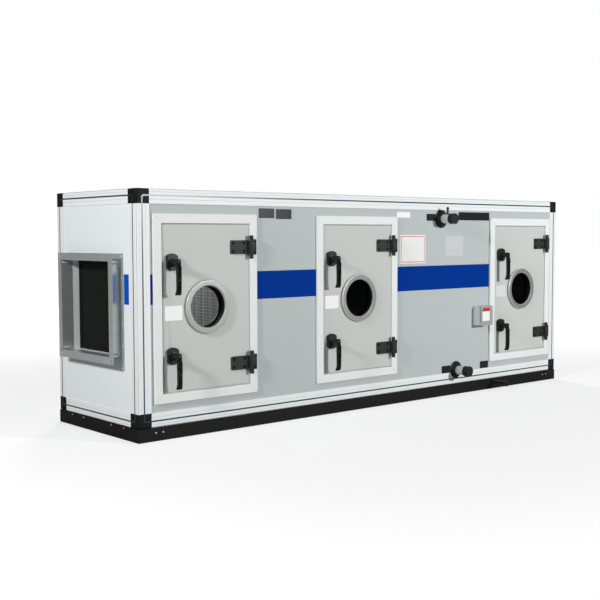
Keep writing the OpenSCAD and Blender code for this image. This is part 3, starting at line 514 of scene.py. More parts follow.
HANDLES = [f"handle_{i}_{level}" for i in (1, 2, 3) for level in ("upper", "lower")]
dress(base_black, "base_rails", "base_cross_members")
dress(profile_upright, "corner_posts")
dress(profile_long, "long_rails")
dress(profile_end, "end_rails")
dress(corner_black, "corner_blocks")
dress(trim_blue, "trim_lines")
dress(panel_grey, "floor_panel", "front_panels", "front_panels_at_doors")
dress(end_white, "top_panel", "back_panels", "left_end_panel", "right_end_panel")
dress(band_blue, "blue_band")
dress(leaf_grey, *by_door("door_leaf"))
dress(liner_black, *by_door("porthole_liner"))
dress(pane_clear, "porthole_glass_1")
dress(pane_black_as_shade, "porthole_glass_2", "porthole_glass_3")
dress(hinge_black, "frame_hinges", *by_door("hinge_plates"))
dress(nylon_black, *by_door("handle_bases"), *HANDLES)
dress(zinc_pipe, "water_pipes")
dress(rubber_black, "pipe_rosettes")
dress(nylon_black, "pipe_caps")
dress(vent_black, "air_vent")
dress(drain_black, "drain_pipe")
dress(zinc_pan, "drain_pan", "fan_wall")
dress(box_grey, "switch_box")
dress(zinc_collar, "duct_collars")
dress(inlet_black, "inlet_filter")
dress(filter_cloth, "filter_bank")
dress(coil_fins, "coil")
dress(wheel_grey, "fan_wheel")
dress(motor_blue, "fan_motor")
for node_name, finish in zip(by_door("door_frame"), door_frames):
    dress(finish, node_name)
for node_name, finish in zip(by_door("porthole_ring"), ring_finishes):
    dress(finish, node_name)
print("all nodes dressed")

# %% [markdown]
# ## Building small pieces
#
# What the construction leaves out is modelled here. Each piece starts from a cube, a cone, a ball or a
# grid, and is then scaled, moved, extruded or bevelled. Three helpers are enough for most of them: a
# block between two corners, a rod between two points, and a bevel round whatever was just made.


# %% Blocks, rods and bevels
def block(mesh, low, high):
    low = Vector(low)
    high = Vector(high)
    made = bmesh.ops.create_cube(mesh, size=1.0)["verts"]
    bmesh.ops.scale(mesh, vec=high - low, verts=made)
    bmesh.ops.translate(mesh, vec=(low + high) / 2, verts=made)
    return made


def rod(mesh, start, end, radius, end_radius=None, segments=32):
    start = Vector(start)
    along = Vector(end) - start
    facing = along.to_track_quat("Z", "Y").to_matrix().to_4x4()
    return bmesh.ops.create_cone(
        mesh, cap_ends=True, segments=segments, radius1=radius,
        radius2=radius if end_radius is None else end_radius, depth=along.length,
        matrix=Matrix.Translation(start + along / 2) @ facing)["verts"]


def edges_of(verts, wanted=None):
    edges = {edge for vert in verts for edge in vert.link_edges}
    return [edge for edge in edges if wanted is None or wanted(edge)]


def bevel(mesh, edges, radius, segments=2):
    bmesh.ops.bevel(mesh, geom=edges, offset=radius, segments=segments, profile=0.5,
                    affect="EDGES", material=-1)


def runs_along(axis):
    def wanted(edge):
        run = (edge.verts[1].co - edge.verts[0].co).normalized()
        return abs(run[axis]) > 0.9
    return wanted


RIM_ANGLE = math.radians(50)


def is_rim(edge):
    return len(edge.link_faces) == 2 and edge.calc_face_angle(0.0) > RIM_ANGLE


print("block, rod and bevel ready")


# %% From a mesh to a piece that rides on a body
SMOOTH_BELOW = math.radians(38)


def make_piece(name, mesh, finish, body, slot, *replaced):
    bmesh.ops.recalc_face_normals(mesh, faces=mesh.faces)
    data = bpy.data.meshes.new(name)
    mesh.to_mesh(data)
    mesh.free()
    data.shade_smooth()
    data.set_sharp_from_angle(angle=SMOOTH_BELOW)
    data.materials.append(finish.material)
    made = bpy.data.objects.new(name, data)
    bpy.context.scene.collection.objects.link(made)
    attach(made, body)
    if replaced:
        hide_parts(*replaced)


PANEL_SET_BACK = 2.5 * mm
PANEL_FACE = cabinet_low.y + PANEL_SET_BACK


def on_front(x, z, y=PANEL_FACE):
    return Vector((cabinet_low.x + x, y, z))


joint_place = {joint["name"]: Vector(joint["pos_m"]) for joint in frame["joints"]}
print(len(joint_place), "joints; the panels' face lies at", round(PANEL_FACE, 4))

# %% [markdown]
# ## Soft edges on the fixed nodes
#
# Real edges are never razor sharp, and the small highlight along them is what makes sheet and profile
# look solid. The fixed nodes come in as loose triangles, so a Weld modifier joins them first, and a
# Bevel modifier then rounds only what is sharper than 35 degrees. The nodes' own meshes stay as they are.


# %% Weld and bevel as modifiers
WELD_REACH = 0.005 * mm
SHARP_ANGLE = math.radians(35)
NORMAL_WEIGHT = 100


def soften(width, is_round, *names):
    for name in names:
        node = frame["nodes"][name]
        weld = node.modifiers.new("weld", "WELD")
        weld.merge_threshold = WELD_REACH
        rounding = node.modifiers.new("rounding", "BEVEL")
        rounding.width = width
        rounding.segments = 2
        rounding.limit_method = "ANGLE"
        rounding.angle_limit = SHARP_ANGLE
        if is_round:
            node.data.shade_smooth()
            weighted = node.modifiers.new("weighted", "WEIGHTED_NORMAL")
            weighted.weight = NORMAL_WEIGHT


soften(1.2 * mm, False, *by_door("door_frame"), *by_door("handle_bases"), "corner_blocks", "switch_box")
soften(0.8 * mm, False, *by_door("door_leaf"), "base_rails")
soften(1.0 * mm, True, "pipe_rosettes", "pipe_caps", *by_door("porthole_ring"))
soften(0.4 * mm, True, "drain_pipe", "air_vent")
print("edges softened")

# %% [markdown]
# ## Lever handles
#
# Each door is shut by two black nylon levers. A lever is one moulding: a round neck comes out of the
# base, meets a blocky shoulder, and the shoulder steps forward into a grip that flares at its end. The
# shoulder and grip start as one square face that is extruded down from station to station and resized
# at each, which keeps them a clean closed tube that a bevel can round. The spindle and cam behind them
# belong to the same piece, because they turn with it.

# %% Lever stations: rise over the spindle, width, depth, and distance behind the grip's face
LEVER_STATIONS = [
    (12 * mm, 17 * mm, 9.5 * mm, 8.5 * mm),
    (7 * mm, 19 * mm, 14 * mm, 4.0 * mm),
    (-12 * mm, 19 * mm, 15 * mm, 4.0 * mm),
    (-18 * mm, 18.5 * mm, 15.5 * mm, 0.0),
    (-70 * mm, 17.5 * mm, 14.5 * mm, 0.0),
    (-100 * mm, 17.5 * mm, 14 * mm, 1.0 * mm),
    (-112 * mm, 19.5 * mm, 14.5 * mm, 3.5 * mm),
    (-120 * mm, 21.5 * mm, 15.5 * mm, 7.5 * mm),
]


def lever_grip(mesh, top):
    rise, width, depth, back = LEVER_STATIONS[0]
    ring = bmesh.ops.create_grid(mesh, x_segments=1, y_segments=1, size=0.5)["verts"]
    face = ring[0].link_faces[0]
    bmesh.ops.scale(mesh, vec=(width, depth, 1.0), verts=face.verts)
    bmesh.ops.translate(mesh, vec=top + Vector((0, back + depth / 2, rise)), verts=face.verts)
    sides = []
    for rise, width, depth, back in LEVER_STATIONS[1:]:
        grown = bmesh.ops.extrude_face_region(mesh, geom=[face])["geom"]
        face = [part for part in grown if isinstance(part, bmesh.types.BMFace)][0]
        centre = top + Vector((0, back + depth / 2, rise))
        now = face.calc_center_median()
        span = [max(v.co[i] for v in face.verts) - min(v.co[i] for v in face.verts) for i in (0, 1)]
        bmesh.ops.translate(mesh, vec=-now, verts=face.verts)
        bmesh.ops.scale(mesh, vec=(width / span[0], depth / span[1], 1.0), verts=face.verts)
        bmesh.ops.translate(mesh, vec=centre, verts=face.verts)
        sides += [edge for vert in face.verts for edge in vert.link_edges]
    return list(set(sides))


print(len(LEVER_STATIONS), "stations down the lever")

# %% One whole handle
GRIP_ROUNDING = 3.2 * mm
SMALL_ROUNDING = 1 * mm
FOOT_GAP = 0.4 * mm
FOOT_RADIUS = 16.5 * mm
FOOT_HEIGHT = 4 * mm
NECK_RADIUS = 13 * mm
NECK_TOP_RADIUS = 10.5 * mm
NECK_TOP_DEPTH = 10 * mm
SPINDLE_RADIUS = 6 * mm
SPINDLE_SHORT = 1 * mm
CAM_HALF = 9 * mm
CAM_THICKNESS = 4 * mm


def lever_handle(name):
    place = joint_place[name + "_turn"]
    low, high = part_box(name)
    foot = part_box("handle_bases_" + name.split("_")[1])[0].y - FOOT_GAP
    mesh = bmesh.new()
    bevel(mesh, lever_grip(mesh, Vector((place.x, low.y, place.z))), GRIP_ROUNDING, 3)
    neck_top = (place.x, low.y + NECK_TOP_DEPTH, place.z)
    rod(mesh, (place.x, foot, place.z), neck_top, NECK_RADIUS, NECK_TOP_RADIUS)
    collar = rod(mesh, (place.x, foot, place.z), (place.x, foot - FOOT_HEIGHT, place.z), FOOT_RADIUS)
    bevel(mesh, edges_of(collar, is_rim), SMALL_ROUNDING)
    rod(mesh, (place.x, foot + SPINDLE_SHORT, place.z), (place.x, high.y, place.z), SPINDLE_RADIUS)
    cam = block(mesh, (place.x - CAM_HALF, high.y - CAM_THICKNESS, place.z - CAM_HALF),
                (high.x, high.y, place.z + CAM_HALF))
    bevel(mesh, edges_of(cam), SMALL_ROUNDING)
    make_piece("lever_" + name, mesh, nylon_black, name, "handle_black", name)
    return foot - low.y


for handle_name in HANDLES:
    handle_reach = lever_handle(handle_name)
print(len(HANDLES), "handles, each", round(handle_reach / mm), "mm out of its base")

# %% [markdown]
# ## Hinges
#
# A hinge is two black mouldings on a steel pin. The half on the leaf is a broad plate with four sunk
# screws and three ribs that run out to its knuckle. The half on the frame is narrow and carries the
# upper and lower knuckles. The pin's axis, the knuckles and the gaps between them stay where the
# construction has them, because the doors turn on them.

# %% The leaf's half
DOOR_PLATE = Vector((84 * mm, 5 * mm, 53 * mm))
BARREL_RADIUS = 8.2 * mm
PLATE_OFF_AXIS = 10.5 * mm
PLATE_OVERLAP = 1.7 * mm
PLATE_CORNER = 5 * mm
SCREW_IN = 11 * mm
SCREW_APART = 52 * mm
LEAF_SCREW_RADIUS = 6 * mm
HEAD_PROUD = 0.7 * mm
HEAD_SUNK = 1.1 * mm
SOCKET_PROUD = 0.4 * mm
RIB_HALF = 1.6 * mm
RIB_IN = 3.4 * mm
RIB_REACH = 30 * mm
RIB_START = 3 * mm
RIB_SUNK = 1 * mm
RIB_LOW_END = 0.3 * mm
WEB_IN = 0.5 * mm
WEB_INSIDE_BARREL = 0.3 * mm
WEB_START = 1 * mm
WEB_ROUNDING = 0.5 * mm
KNUCKLE_ROUNDING = 0.8 * mm


def countersunk(mesh, place, radius):
    ring = rod(mesh, place, place + Vector((0, -HEAD_PROUD, 0)), radius, radius * 0.92, 24)
    top = min({face for vert in ring for face in vert.link_faces}, key=lambda f: f.calc_center_median().y)
    bmesh.ops.inset_individual(mesh, faces=[top], thickness=radius * 0.22, depth=-HEAD_SUNK)
    rod(mesh, place, place + Vector((0, -SOCKET_PROUD, 0)), radius * 0.62, radius * 0.55, 6)


def leaf_hinge(mesh, screws, axis):
    half = DOOR_PLATE.z / 2
    reach = DOOR_PLATE.x + BARREL_RADIUS - PLATE_OVERLAP
    plate_low = axis + Vector((-reach, PLATE_OFF_AXIS, -half))
    broad_plate = block(mesh, plate_low, plate_low + DOOR_PLATE)
    bevel(mesh, edges_of(broad_plate, runs_along(1)), PLATE_CORNER, 4)
    face = plate_low.y
    for x in (SCREW_IN, SCREW_IN + SCREW_APART):
        for z in (SCREW_IN, DOOR_PLATE.z - SCREW_IN):
            countersunk(screws, Vector((plate_low.x + x, face, plate_low.z + z)), LEAF_SCREW_RADIUS)
    for level in (-1, 0, 1):
        rib_z = axis.z + level * (half - RIB_IN)
        rib = block(mesh, (axis.x - RIB_REACH, axis.y + RIB_SUNK, rib_z - RIB_HALF),
                    (axis.x - RIB_START, face + RIB_SUNK, rib_z + RIB_HALF))
        far = [vert for vert in rib if vert.co.x < axis.x - RIB_REACH / 2 and vert.co.y < face]
        bmesh.ops.translate(mesh, vec=(0, face - RIB_LOW_END - far[0].co.y, 0), verts=far)
    web_low = Vector((-BARREL_RADIUS + WEB_INSIDE_BARREL, 0, -half + WEB_IN))
    web_high = Vector((-WEB_START, PLATE_OFF_AXIS + DOOR_PLATE.y, half - WEB_IN))
    web = block(mesh, axis + web_low, axis + web_high)
    bevel(mesh, edges_of(web), WEB_ROUNDING)
    knuckle = rod(mesh, axis - Vector((0, 0, half)), axis + Vector((0, 0, half)), BARREL_RADIUS, segments=40)
    bevel(mesh, edges_of(knuckle, is_rim), KNUCKLE_ROUNDING)


def hinge_heights(door):
    low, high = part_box(f"hinge_plates_{door}")
    return low.z + DOOR_PLATE.z / 2, high.z - DOOR_PLATE.z / 2


for door in (1, 2, 3):
    hinge_axis = joint_place[f"door_{door}_swing"]
    leaf_half = bmesh.new()
    leaf_screws = bmesh.new()
    for height in hinge_heights(door):
        leaf_hinge(leaf_half, leaf_screws, Vector((hinge_axis.x, hinge_axis.y, height)))
    make_piece(f"leaf_hinges_{door}", leaf_half, hinge_black, f"door_{door}", "hinge_black",
               f"hinge_plates_{door}")
    make_piece(f"leaf_hinge_screws_{door}", leaf_screws, screw_black, f"door_{door}", "hinge_black")
print("leaf hinges at heights", [round(height, 3) for height in hinge_heights(1)])

# %% The frame's half
FRAME_PLATE_FACE = 7 * mm
FRAME_PLATE_BACK = 12 * mm
FRAME_PLATE_WIDTH = 29 * mm
FRAME_PLATE_HEIGHT = 60 * mm
FRAME_PLATE_START = 2 * mm
STRIP_GAP = 1.5 * mm
STRIP_ROUNDING = 1.2 * mm
ARM_PAST_STRIP = 8 * mm
ARM_OVERLAP = 3 * mm
CHEEK_IN = 0.5 * mm
KNUCKLE_GAP = 0.7 * mm
KNUCKLE_LOW = DOOR_PLATE.z / 2 + KNUCKLE_GAP
KNUCKLE_HEIGHT = 7 * mm
KNOB_GAP = 0.6 * mm
KNOB_END_RADIUS = 7.8 * mm
KNOB_ROUNDING = 1.2 * mm
BARREL_END = 45 * mm
PIN_RADIUS = 4 * mm
PIN_SHORT = 4 * mm
STRIP_SCREW_IN = 7 * mm
STRIP_SCREW_OFF = 20 * mm
STRIP_SCREW_RADIUS = 4.5 * mm


def frame_hinge(mesh, screws, axis):
    face = axis.y + FRAME_PLATE_FACE
    back = axis.y + FRAME_PLATE_BACK
    x0 = axis.x + FRAME_PLATE_START
    x1 = x0 + FRAME_PLATE_WIDTH
    gap_x = axis.x + BARREL_RADIUS + STRIP_GAP
    strip = block(mesh, (gap_x, face, axis.z - FRAME_PLATE_HEIGHT / 2),
                  (x1, back, axis.z + FRAME_PLATE_HEIGHT / 2))
    bevel(mesh, edges_of(strip), STRIP_ROUNDING)
    for side in (-1, 1):
        near = axis.z + side * KNUCKLE_LOW
        far = axis.z + side * (FRAME_PLATE_HEIGHT / 2 + ARM_PAST_STRIP)
        low_z = min(near, far)
        high_z = max(near, far)
        arm = block(mesh, (x0, face, low_z), (gap_x + ARM_OVERLAP, back, high_z))
        bevel(mesh, edges_of(arm), KNUCKLE_ROUNDING)
        cheek = block(mesh, (axis.x, axis.y, low_z),
                      (axis.x + BARREL_RADIUS - CHEEK_IN, back - CHEEK_IN, high_z))
        bevel(mesh, edges_of(cheek), KNUCKLE_ROUNDING)
        shoulder = axis.z + side * (KNUCKLE_LOW + KNUCKLE_HEIGHT)
        knuckle = rod(mesh, (axis.x, axis.y, near), (axis.x, axis.y, shoulder), BARREL_RADIUS, segments=40)
        bevel(mesh, edges_of(knuckle, is_rim), KNUCKLE_ROUNDING)
        knob = rod(mesh, (axis.x, axis.y, shoulder + side * KNOB_GAP),
                   (axis.x, axis.y, axis.z + side * BARREL_END), BARREL_RADIUS, KNOB_END_RADIUS, 32)
        bevel(mesh, edges_of(knob, is_rim), KNOB_ROUNDING, 3)
        countersunk(screws, Vector((x1 - STRIP_SCREW_IN, face, axis.z + side * STRIP_SCREW_OFF)),
                    STRIP_SCREW_RADIUS)
    pin_half = Vector((0, 0, BARREL_END - PIN_SHORT))
    rod(mesh, axis - pin_half, axis + pin_half, PIN_RADIUS)


frame_half = bmesh.new()
frame_half_screws = bmesh.new()
for door in (1, 2, 3):
    hinge_axis = joint_place[f"door_{door}_swing"]
    for height in hinge_heights(door):
        frame_hinge(frame_half, frame_half_screws, Vector((hinge_axis.x, hinge_axis.y, height)))
make_piece("hinge_frame_halves", frame_half, hinge_black, "cabinet", "hinge_black", "frame_hinges")
make_piece("hinge_frame_screws", frame_half_screws, screw_black, "cabinet", "hinge_black")
print("frame hinges done")

# %% [markdown]
# ## Door seals
#
# Behind each leaf's edge the frame has a stop with a soft black seal, which shows once a door is open.
# A thin grey lip on the leaf's own edge almost fills the gap round it. A flat grid is inset to leave a
# ring, and the ring is extruded to its thickness.


# %% A rectangular ring in the plane of the doors
def flat_ring(mesh, low, high, bar, depth):
    made = bmesh.ops.create_grid(mesh, x_segments=1, y_segments=1, size=0.5)["verts"]
    face = made[0].link_faces[0]
    stand = Matrix.Rotation(math.radians(90), 4, "X")
    bmesh.ops.transform(mesh, matrix=stand, verts=made)
    size = high - low
    bmesh.ops.scale(mesh, vec=(size.x, 1.0, size.z), verts=made)
    bmesh.ops.translate(mesh, vec=Vector(((low.x + high.x) / 2, low.y, (low.z + high.z) / 2)), verts=made)
    bmesh.ops.inset_individual(mesh, faces=[face], thickness=bar, depth=0.0)
    ring = list({f for vert in face.verts for f in vert.link_faces if f is not face})
    bmesh.ops.delete(mesh, geom=[face], context="FACES_ONLY")
    grown = bmesh.ops.extrude_face_region(mesh, geom=ring, use_keep_orig=True)["geom"]
    moved = [part for part in grown if isinstance(part, bmesh.types.BMVert)]
    bmesh.ops.translate(mesh, vec=(0, depth, 0), verts=moved)


STOP_DEPTH = 7 * mm
SEAL_IN = 40 * mm
SEAL_BAR = 12 * mm
SEAL_HEIGHT = 4.5 * mm
LIP_REACH = 2.9 * mm
LIP_OVERLAP = 0.2 * mm
LIP_SET_BACK = 0.8 * mm
LIP_DEPTH = 4.5 * mm
LIP_ROUNDING = 0.5 * mm
for door in (1, 2, 3):
    leaf_low, leaf_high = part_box(f"door_leaf_{door}")
    frame_low, frame_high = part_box(f"door_frame_{door}")
    stop_face = frame_high.y - STOP_DEPTH
    seal_low = Vector((frame_low.x + SEAL_IN, stop_face, frame_low.z + SEAL_IN))
    seal_high = Vector((frame_high.x - SEAL_IN, stop_face, frame_high.z - SEAL_IN))
    seal = bmesh.new()
    flat_ring(seal, seal_low, seal_high, SEAL_BAR, -SEAL_HEIGHT)
    bevel(seal, [edge for edge in seal.edges if is_rim(edge)], SMALL_ROUNDING)
    make_piece(f"door_seal_{door}", seal, rubber_black, "cabinet", "rosette_rubber")
    lip_face = leaf_low.y + LIP_SET_BACK
    lip_low = Vector((leaf_low.x - LIP_REACH, lip_face, leaf_low.z - LIP_REACH))
    lip_high = Vector((leaf_high.x + LIP_REACH, lip_face, leaf_high.z + LIP_REACH))
    lip = bmesh.new()
    flat_ring(lip, lip_low, lip_high, LIP_REACH + LIP_OVERLAP, LIP_DEPTH)
    bevel(lip, [edge for edge in lip.edges if is_rim(edge)], LIP_ROUNDING)
    make_piece(f"door_lip_{door}", lip, lip_grey, f"door_{door}", "panel_white")
print("seals between the leaves and their stops, and a lip round each leaf")

# %% [markdown]
# ## Plates and labels
#
# The front carries small black plates, a few white labels, a clear film and one white notice with a
# thin red edge. All of them are bare here. They are still real pieces: about half a millimetre to a
# millimetre of plastic with rounded corners, so that light catches their edges.


# %% Plate finishes
def printed_film(name, color, edge_color, node_low, node_high, inset, line):
    finish = Finish(name, color, 0.32)
    from_side = (finish.x - node_low.x).least(node_high.x - finish.x)
    from_end = (finish.z - node_low.z).least(node_high.z - finish.z)
    from_edge = from_side.least(from_end)
    border = (from_edge > inset) * (from_edge < inset + line)
    finish.feed("Base Color", finish.blend(border, shade(color, 1.0), shade(edge_color, 1.0)))
    finish.feed("Roughness", 0.3 + 0.06 * finish.noise(80.0))
    finish.bump(finish.noise(260.0), 0.02 * mm)
    return finish


plate_black = moulded("plate_black", (0.012, 0.012, 0.013), 0.3, 0.01 * mm)
label_white = moulded("label_white", (0.84, 0.85, 0.85), 0.35, 0.01 * mm, 0.3, 0.02)
strip_red = moulded("strip_red", (0.5, 0.03, 0.03), 0.35, 0.01 * mm, 0.3, 0.05)
print("plate finishes ready")


# %% Places on the front: x, z, width and height in millimetres, from the left end and the floor
BLACK_PLATES = [
    (558, 818, 78, 38), (645, 815, 80, 39), (1530, 815, 60, 31),
    (1751, 819, 74.5, 38), (1826, 819, 74.5, 38), (1901, 819, 74.5, 38),
    (1639, 106, 60, 34), (1916, 106, 61, 34),
]
WHITE_STRIP = (1336, 828, 85, 24)
NOTICE = (1357, 622, 167, 129)
CLEAR_NOTICE = (1659, 653, 127, 93)
PLATE_THICKNESS = 1 * mm
NOTICE_THICKNESS = 0.6 * mm
LABEL_THICKNESS = 0.5 * mm
FILM_THICKNESS = 0.4 * mm
PLATE_ROUNDING = 2 * mm
NOTICE_ROUNDING = 5 * mm
FILM_ROUNDING = 4 * mm
BORDER_IN = 5 * mm
BORDER_WIDTH = 5 * mm


def plate(mesh, low, high, thickness, corner):
    made = block(mesh, (low.x, low.y - thickness, low.z), (high.x, low.y, high.z))
    bevel(mesh, edges_of(made, runs_along(1)), corner, 3)


def front_corners(place, y=PANEL_FACE):
    x, z, width, height = place
    return on_front(x * mm, z * mm, y), on_front((x + width) * mm, (z + height) * mm, y)


print("places for", len(BLACK_PLATES), "black plates, a strip and two notices")

# %% Plates, strip and notices
black_plates = bmesh.new()
for place in BLACK_PLATES:
    plate(black_plates, *front_corners(place), PLATE_THICKNESS, PLATE_ROUNDING)
make_piece("name_plates", black_plates, plate_black, "cabinet", "hinge_black")

white_strip = bmesh.new()
plate(white_strip, *front_corners(WHITE_STRIP), NOTICE_THICKNESS, PLATE_ROUNDING)
make_piece("white_strip", white_strip, label_white, "cabinet", "panel_white")

notice_low, notice_high = front_corners(NOTICE)
notice_film = printed_film("notice_film", (0.78, 0.78, 0.77), (0.7, 0.3, 0.32), notice_low, notice_high,
                           BORDER_IN, BORDER_WIDTH)
notice = bmesh.new()
plate(notice, notice_low, notice_high, NOTICE_THICKNESS, NOTICE_ROUNDING)
make_piece("front_notice", notice, notice_film, "cabinet", "panel_white")

clear_film = Finish("clear_film", (0.58, 0.6, 0.61), 0.4, shine=0.2)
blotch = clear_film.noise(55.0, 3.0)
clear_film.feed("Base Color", clear_film.blend(blotch, (0.47, 0.51, 0.51, 1), (0.62, 0.6, 0.61, 1)))
film = bmesh.new()
plate(film, *front_corners(CLEAR_NOTICE), FILM_THICKNESS, FILM_ROUNDING)
make_piece("clear_notice", film, clear_film, "cabinet", "panel_white")
print("plates, strip and notices on the front")

# %% Labels on the leaves
LABEL_SIZE = (76, 54)
label_grey = moulded("label_grey", (0.66, 0.67, 0.67), 0.35, 0.01 * mm, 0.4, 0.03)
LEAF_LABELS = {1: (115.5, 438, label_white), 2: (903, 444, label_white), 3: (2027, 448, label_grey)}
for door, (x, z, label_finish) in LEAF_LABELS.items():
    leaf_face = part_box(f"door_leaf_{door}")[0].y
    leaf_label = bmesh.new()
    plate(leaf_label, *front_corners((x, z, *LABEL_SIZE), leaf_face), LABEL_THICKNESS, PLATE_ROUNDING)
    make_piece(f"leaf_label_{door}", leaf_label, label_finish, f"door_{door}", "panel_white")
print(len(BLACK_PLATES), "black plates and", len(LEAF_LABELS), "leaf labels")

# %% [markdown]
# ## The switch box's face
#
# The box has a bare white plate with a red strip along its top, four cover screws, and one screw in its
# left side.


# %% Screw heads and the box's plate
def screw_head(mesh, place, out, radius, segments=20):
    out = Vector(out)
    head = rod(mesh, place, Vector(place) + out * radius * 0.45, radius, radius * 0.8, segments)
    top = max({face for vert in head for face in vert.link_faces},
              key=lambda face: face.calc_center_median().dot(out))
    bmesh.ops.inset_individual(mesh, faces=[top], thickness=radius * 0.32, depth=0.0)
    bmesh.ops.inset_individual(mesh, faces=[top], thickness=radius * 0.06, depth=-radius * 0.3)


BOX_PLATE_FAR = 76 * mm
BOX_PLATE_NEAR = 23 * mm
BOX_PLATE_BELOW = 22 * mm
BOX_PLATE_ABOVE = 10 * mm
BOX_PLATE_ROUNDING = 1.5 * mm
STRIP_HEIGHT = 16 * mm
STRIP_THICKNESS = 0.2 * mm
BOX_SCREW_IN = 7 * mm
BOX_SCREW_RADIUS = 3 * mm
SIDE_SCREW_BACK = 24 * mm
SIDE_SCREW_RADIUS = 3.5 * mm
box_low, box_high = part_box("switch_box")
box_plate = bmesh.new()
plate_low = Vector((box_high.x - BOX_PLATE_FAR, box_low.y, box_low.z + BOX_PLATE_BELOW))
plate_high = Vector((box_high.x - BOX_PLATE_NEAR, box_low.y, box_high.z - BOX_PLATE_ABOVE))
plate(box_plate, plate_low, plate_high, NOTICE_THICKNESS, BOX_PLATE_ROUNDING)
make_piece("box_plate", box_plate, label_white, "cabinet", "panel_white")
red_strip = bmesh.new()
strip_face = plate_low.y - NOTICE_THICKNESS
plate(red_strip, Vector((plate_low.x, strip_face, plate_high.z - STRIP_HEIGHT)),
      Vector((plate_high.x, strip_face, plate_high.z)), STRIP_THICKNESS, SMALL_ROUNDING)
make_piece("box_red_strip", red_strip, strip_red, "cabinet", "panel_white")
box_screws = bmesh.new()
for x in (box_low.x + BOX_SCREW_IN, box_high.x - BOX_SCREW_IN):
    for z in (box_low.z + BOX_SCREW_IN, box_high.z - BOX_SCREW_IN):
        screw_head(box_screws, Vector((x, box_low.y, z)), (0, -1, 0), BOX_SCREW_RADIUS)
side_z = (box_low.z + box_high.z) / 2
side_screw = Vector((box_low.x, box_low.y + SIDE_SCREW_BACK, side_z))
screw_head(box_screws, side_screw, (-1, 0, 0), SIDE_SCREW_RADIUS)
make_piece("box_screws", box_screws, vent_metal, "cabinet", "vent_brass")
print("switch box dressed")

# %% [markdown]
# ## Screws in the door frames and rivets on the collars
#
# Each door frame is held by screws through its outer edges. The collars are riveted to the end panels
# all round, and their corners are held by three small rivets each. All heads of one kind are a single
# mesh made by a loop.

# %% Frame screws
FRAME_SCREW_IN = 30 * mm
FRAME_SCREW_BACK = 4.2 * mm
FRAME_SCREW_RADIUS = 2.4 * mm
SCREW_SIDES = 14
frame_screws = bmesh.new()
for door in (1, 2, 3):
    low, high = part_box(f"door_frame_{door}")
    for z in (low.z + FRAME_SCREW_IN, (low.z + high.z) / 2, high.z - FRAME_SCREW_IN):
        for x, out in ((low.x, -1), (high.x, 1)):
            place = Vector((x, low.y + FRAME_SCREW_BACK, z))
            screw_head(frame_screws, place, (out, 0, 0), FRAME_SCREW_RADIUS, SCREW_SIDES)
make_piece("frame_screws", frame_screws, vent_metal, "cabinet", "vent_brass")
print("screws along the door frames")

# %% Collar rivets
RIVET_RADIUS = 3.2 * mm
RIVET_FLATNESS = 0.45
RIVET_SUNK = 0.5 * mm
RIM_IN_Y = 10 * mm
RIM_IN_Z = 9 * mm
RIVETS_UP = 6
RIVETS_ALONG = 5
FLANGE_WIDTH = 28 * mm
SHEET = 2 * mm
COLLAR_MIDDLE = 482 * mm
CORNER_RIVET_DOWN = 9 * mm
CORNER_RIVETS_IN = (8 * mm, 18 * mm, 29 * mm)
collar_low, collar_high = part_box("duct_collars")
rim_y = collar_high.y - RIM_IN_Y
rim_low_z = collar_low.z + RIM_IN_Z
rim_high_z = collar_high.z - RIM_IN_Z


def rivet(mesh, place, flat_axis):
    dome = bmesh.ops.create_uvsphere(mesh, u_segments=12, v_segments=6, radius=RIVET_RADIUS)["verts"]
    squash = Vector((1.0, 1.0, 1.0))
    squash[flat_axis] = RIVET_FLATNESS
    bmesh.ops.scale(mesh, vec=squash, verts=dome)
    bmesh.ops.translate(mesh, vec=place, verts=dome)


def spread(low, high, count):
    return [low + (high - low) * k / (count - 1) for k in range(count)]


rivets = bmesh.new()
inner_rivets = bmesh.new()
wall_rivets = bmesh.new()
inner_y = collar_high.y - FLANGE_WIDTH
in_from_middle = collar_high.z - FLANGE_WIDTH - CORNER_RIVET_DOWN - COLLAR_MIDDLE
inner_heights = (COLLAR_MIDDLE + in_from_middle, COLLAR_MIDDLE - in_from_middle)
for side in (-1, 1):
    face_x = side * (cabinet_high.x - RIVET_SUNK)
    for z in spread(rim_low_z, rim_high_z, RIVETS_UP):
        for y in (-rim_y, rim_y):
            rivet(rivets, Vector((face_x, y, z)), 0)
    for y in spread(-rim_y, rim_y, RIVETS_ALONG)[1:-1]:
        for z in (rim_low_z, rim_high_z):
            rivet(rivets, Vector((face_x, y, z)), 0)
    for height in inner_heights:
        for x in CORNER_RIVETS_IN:
            along_x = side * (collar_high.x - x)
            for y in (-1, 1):
                rivet(inner_rivets, Vector((along_x, y * inner_y, height)), 1)
                rivet(wall_rivets, Vector((along_x, y * (inner_y + SHEET), height)), 1)
make_piece("collar_rivets", rivets, rivet_white, "cabinet", "collar_zinc")
make_piece("collar_corner_rivets", inner_rivets, rivet_white, "cabinet", "collar_zinc")
make_piece("collar_wall_rivets", wall_rivets, rivet_dark, "cabinet", "collar_zinc")
print("rivets round the collars and at their corners")

# %% [markdown]
# ## Wire grid, drain nut and base screws
#
# A pleated filter is held in shape by a welded grid of thin wires on its face, which shows through the
# first porthole. The drain stub ends in a hose nut, and the base is screwed together near its corners.

